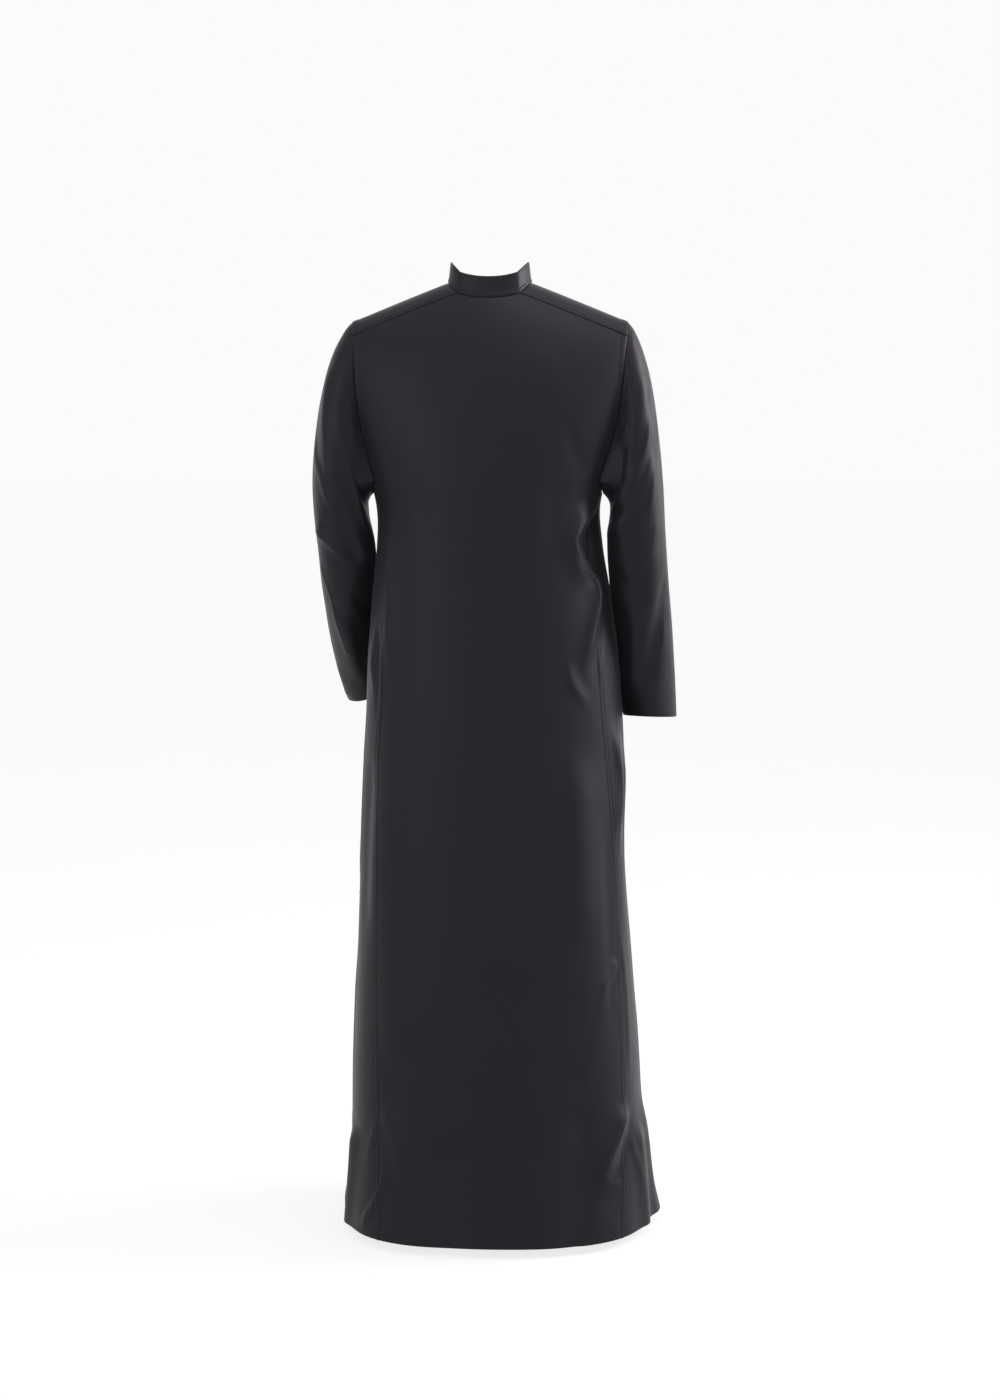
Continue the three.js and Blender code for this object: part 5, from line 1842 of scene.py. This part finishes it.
@dataclass
class Button:
    """A four-hole button with a rounded rim and a dished face, sewn on with thread."""

    radius: float = 5.5
    thickness: float = 2.4
    dish_radius: float = 3.9
    dish_depth: float = 0.55
    hole_offset: float = 1.05
    hole_radius: float = 0.5
    segments: int = 56

    def profile(self) -> Array:
        """Return radius and height from the middle of the underside over the rim to the top."""
        r, h, rim = self.radius, self.thickness, self.thickness * 0.42
        turn = np.linspace(-math.pi / 2, math.pi / 2, 11)
        edge = np.stack([r - rim + rim * np.cos(turn), h / 2 + (h / 2) * np.sin(turn)], axis=1)
        share = np.linspace(0, 1, 6)
        slope = np.stack(
            [mix(self.dish_radius + 0.5, self.dish_radius - 0.5, share),
             h - self.dish_depth * smooth_step(share)], axis=1
        )
        return np.concatenate([[[0, 0]], edge, slope, [[0, h - self.dish_depth]]])

    def blank(self, name: str) -> bpy.types.Object:
        """Return the button without holes, its underside's middle at the origin."""
        profile = self.profile() * MM
        turn = np.arange(self.segments) * 2 * math.pi / self.segments
        rings = profile[1:-1]
        around = np.stack([np.cos(turn), np.sin(turn)], axis=1)
        wall = np.concatenate(
            [np.column_stack([around * r, np.full(self.segments, h)]) for r, h in rings]
        )
        vertices = np.concatenate([wall, [[0, 0, 0], [0, 0, profile[-1, 1]]]])
        under, top = len(wall), len(wall) + 1
        faces = []
        for i in range(self.segments):
            j = (i + 1) % self.segments
            faces.append((under, j, i))
            for ring in range(len(rings) - 1):
                a, b = ring * self.segments, (ring + 1) * self.segments
                faces.append((a + i, a + j, b + j, b + i))
            last = (len(rings) - 1) * self.segments
            faces.append((last + i, last + j, top))
        return make_object(name, vertices, faces)

    def make(self, node: str, seat: Matrix, finish: bpy.types.Material) -> bpy.types.Object:
        """Drill the holes, move the button to its seat and return it."""
        made = self.blank(f"made_{node}")
        cutters = []
        for x, y in ((1, 1), (1, -1), (-1, 1), (-1, -1)):
            turn = np.arange(16) * math.pi / 8
            ring = np.stack([np.cos(turn), np.sin(turn)], axis=1) * self.hole_radius
            ring = ring + np.array([x, y]) * self.hole_offset
            low, high = (np.column_stack([ring, np.full(16, z)]) for z in (-1.0, 4.0))
            faces = [(i, (i + 1) % 16, 16 + (i + 1) % 16, 16 + i) for i in range(16)]
            faces += [tuple(range(15, -1, -1)), tuple(range(16, 32))]
            cutters.append(make_object("drill", np.concatenate([low, high]) * MM, faces))
            modifier = made.modifiers.new("hole", "BOOLEAN")
            modifier.operation, modifier.solver = "DIFFERENCE", "EXACT"
            modifier.object = cutters[-1]
        graph = bpy.context.evaluated_depsgraph_get()
        drilled = bpy.data.meshes.new_from_object(made.evaluated_get(graph))
        made.modifiers.clear()
        made.data = drilled
        for cutter in cutters:
            bpy.data.objects.remove(cutter)
        in_metres = Matrix.Translation(seat.translation * MM) @ seat.to_3x3().to_4x4()
        made.data.transform(in_metres)
        made.data.materials.clear()
        made.data.materials.append(finish)
        made.data.shade_smooth()
        made.data.set_sharp_from_angle(angle=math.radians(40))
        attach(made, "root")
        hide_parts(node)
        return made

    def sew(self, seat: Matrix, sewing: Stitching) -> None:
        """Lay the threads between the holes, and the shank under the button."""
        top = self.thickness - self.dish_depth + 0.12
        for side in (-1, 1):
            for shift in (-0.22, 0.0, 0.22):
                x = side * self.hole_offset + shift
                ends = np.linspace(-self.hole_offset, self.hole_offset, 6)
                path = [seat @ Vector((x, y, top - 0.12 * abs(y))) for y in ends]
                sewing.add("placket", StitchLine(np.array(path), 0.3, 0.9, 0.2))
            for y in (-self.hole_offset, self.hole_offset):
                rise = np.linspace(-0.4, top, 6)
                path = [seat @ Vector((side * self.hole_offset, y, z)) for z in rise]
                sewing.add("placket", StitchLine(np.array(path), 0.3, 0.9, 0.34))


# ------------------------------------------------------------------------------ the studio


@dataclass
class Studio:
    """Camera, white surroundings and soft lights."""

    lens: float = 74.577
    eye: tuple[float, float, float] = (-0.1963, 4.4957, -0.127)
    pitch: float = 6.5654
    shift: float = 0.00714
    sensor: float = 36.0
    floor_z: float = -1.4745
    floor_size: float = 60.0
    background: float = 0.965
    bright_until: float = -0.965
    dim_side: float = 0.43
    dim_from: float = -0.5

    def place_camera(self) -> None:
        """Look from behind the wearer towards the garment's upright axis."""
        data = bpy.data.cameras.new("camera")
        data.lens, data.sensor_width, data.shift_x = self.lens, self.sensor, self.shift
        camera = add_object("camera", data)
        eye = Vector(self.eye)
        level = Vector((-eye.x, -eye.y, 0)).normalized()
        pitch = math.radians(self.pitch)
        look = level * math.cos(pitch) - Vector((0, 0, math.sin(pitch)))
        turn = look.to_track_quat("-Z", "Y").to_matrix().to_4x4()
        camera.matrix_world = Matrix.Translation(eye) @ turn
        bpy.context.scene.camera = camera

    def fill_world(self) -> None:
        """Surround the garment with white that is bright behind it and dim beside the camera."""
        world = bpy.data.worlds.new("studio")
        bpy.context.scene.world = world
        world.use_nodes = True
        nodes, links = world.node_tree.nodes, world.node_tree.links
        nodes.clear()
        way = nodes.new("ShaderNodeTexCoord")
        parts = nodes.new("ShaderNodeSeparateXYZ")
        links.new(way.outputs["Generated"], parts.inputs[0])
        share = nodes.new("ShaderNodeMapRange")
        share.interpolation_type = "SMOOTHSTEP"
        spread = (self.bright_until, self.dim_from, self.background, self.dim_side)
        for i, value in enumerate(spread, start=1):
            share.inputs[i].default_value = value
        links.new(parts.outputs[1], share.inputs[0])
        light = nodes.new("ShaderNodeBackground")
        links.new(share.outputs[0], light.inputs[0])
        links.new(light.outputs[0], nodes.new("ShaderNodeOutputWorld").inputs[0])

    def lay_floor(self, finish: bpy.types.Material) -> None:
        """Lay the white floor, which takes the shadow but throws no light up the cloth."""
        half = self.floor_size / 2
        corners = [(-half, -half), (half, -half), (half, half), (-half, half)]
        vertices = np.array([(x, y, self.floor_z) for x, y in corners])
        floor = make_object("floor", vertices, [(0, 1, 2, 3)])
        floor.data.materials.append(finish)
        floor.visible_diffuse = False
        floor.visible_glossy = False

    def add_light(
        self, name: str, power: float, size: float, place: Sequence[float], aim: Sequence[float]
    ) -> None:
        """Add a soft square light.

        Args:
            name: Its name.
            power: Its power in watts.
            size: The length of its side in metres.
            place: Where it stands.
            aim: The point that it faces.
        """
        data = bpy.data.lights.new(name, "AREA")
        data.energy, data.size = power, size
        light = add_object(name, data)
        way = Vector(aim) - Vector(place)
        turn = way.to_track_quat("-Z", "Y").to_matrix().to_4x4()
        light.matrix_world = Matrix.Translation(Vector(place)) @ turn

    def build(self) -> None:
        """Set up the whole studio."""
        bpy.context.scene.view_settings.view_transform = "Standard"
        self.place_camera()
        self.fill_world()
        self.lay_floor(FloorFinish().make())
        self.add_light("key_right", 60, 1.6, (-2.8, -0.6, 0.6), (0, 0, -0.7))
        self.add_light("fill_left", 9, 1.6, (2.0, 2.4, 0.4), (0, 0, -0.7))
        self.add_light("top", 14, 2.0, (-0.6, 0.8, 2.2), (0, 0, -0.5))


# ------------------------------------------------------------------------------ all in order


def main() -> None:
    """Build the garment and the studio in order."""
    logging.basicConfig(level=logging.INFO, format="%(name)s: %(message)s")
    suiting, thread = SuitingFinish().make(), ThreadFinish().make()
    stitching = Stitching(StitchTree(thread), thread)
    tailor = Tailor(suiting, stitching)
    body = Body()
    left_form = SleeveForm.from_rows(SLEEVE_LEFT_ROWS, True)
    right_form = SleeveForm.from_rows(SLEEVE_RIGHT_ROWS, False)
    left = Sleeve(
        "sleeve_left", left_form, SLEEVE_FOLDS_LEFT, 5, lean=11.0, trim=22.0, lean_middle=0.37
    )
    right = Sleeve("sleeve_right", right_form, SLEEVE_FOLDS_RIGHT, 6, lean=5.0, trim=10.0)
    collar = Collar()
    cloths = [
        *body.pieces.values(),
        left.cut(*body.armhole(True), body.flank(True)),
        right.cut(*body.armhole(False), body.flank(False)),
        collar.cut(body.neckline()),
    ]
    share_normals(cloths)
    LOG.info("cut %d pieces", len(cloths))
    placket, bag, mouth = Placket(), PocketBag(), PocketMouth()
    placket.cut(body, collar.cloth)
    bag.cut(body)
    mouth.open(body)
    mouth.sew(body, stitching)
    button, button_finish = Button(), ButtonFinish().make()
    for i, seat in enumerate(placket.seats()):
        button.make(f"button_{i + 1}", seat, button_finish)
        button.sew(seat, stitching)
    for part in (body, left, right, collar, placket, bag):
        part.finish(tailor)
        LOG.info("finished %s", type(part).__name__)
    Studio().build()


if __name__ == "__main__":
    main()
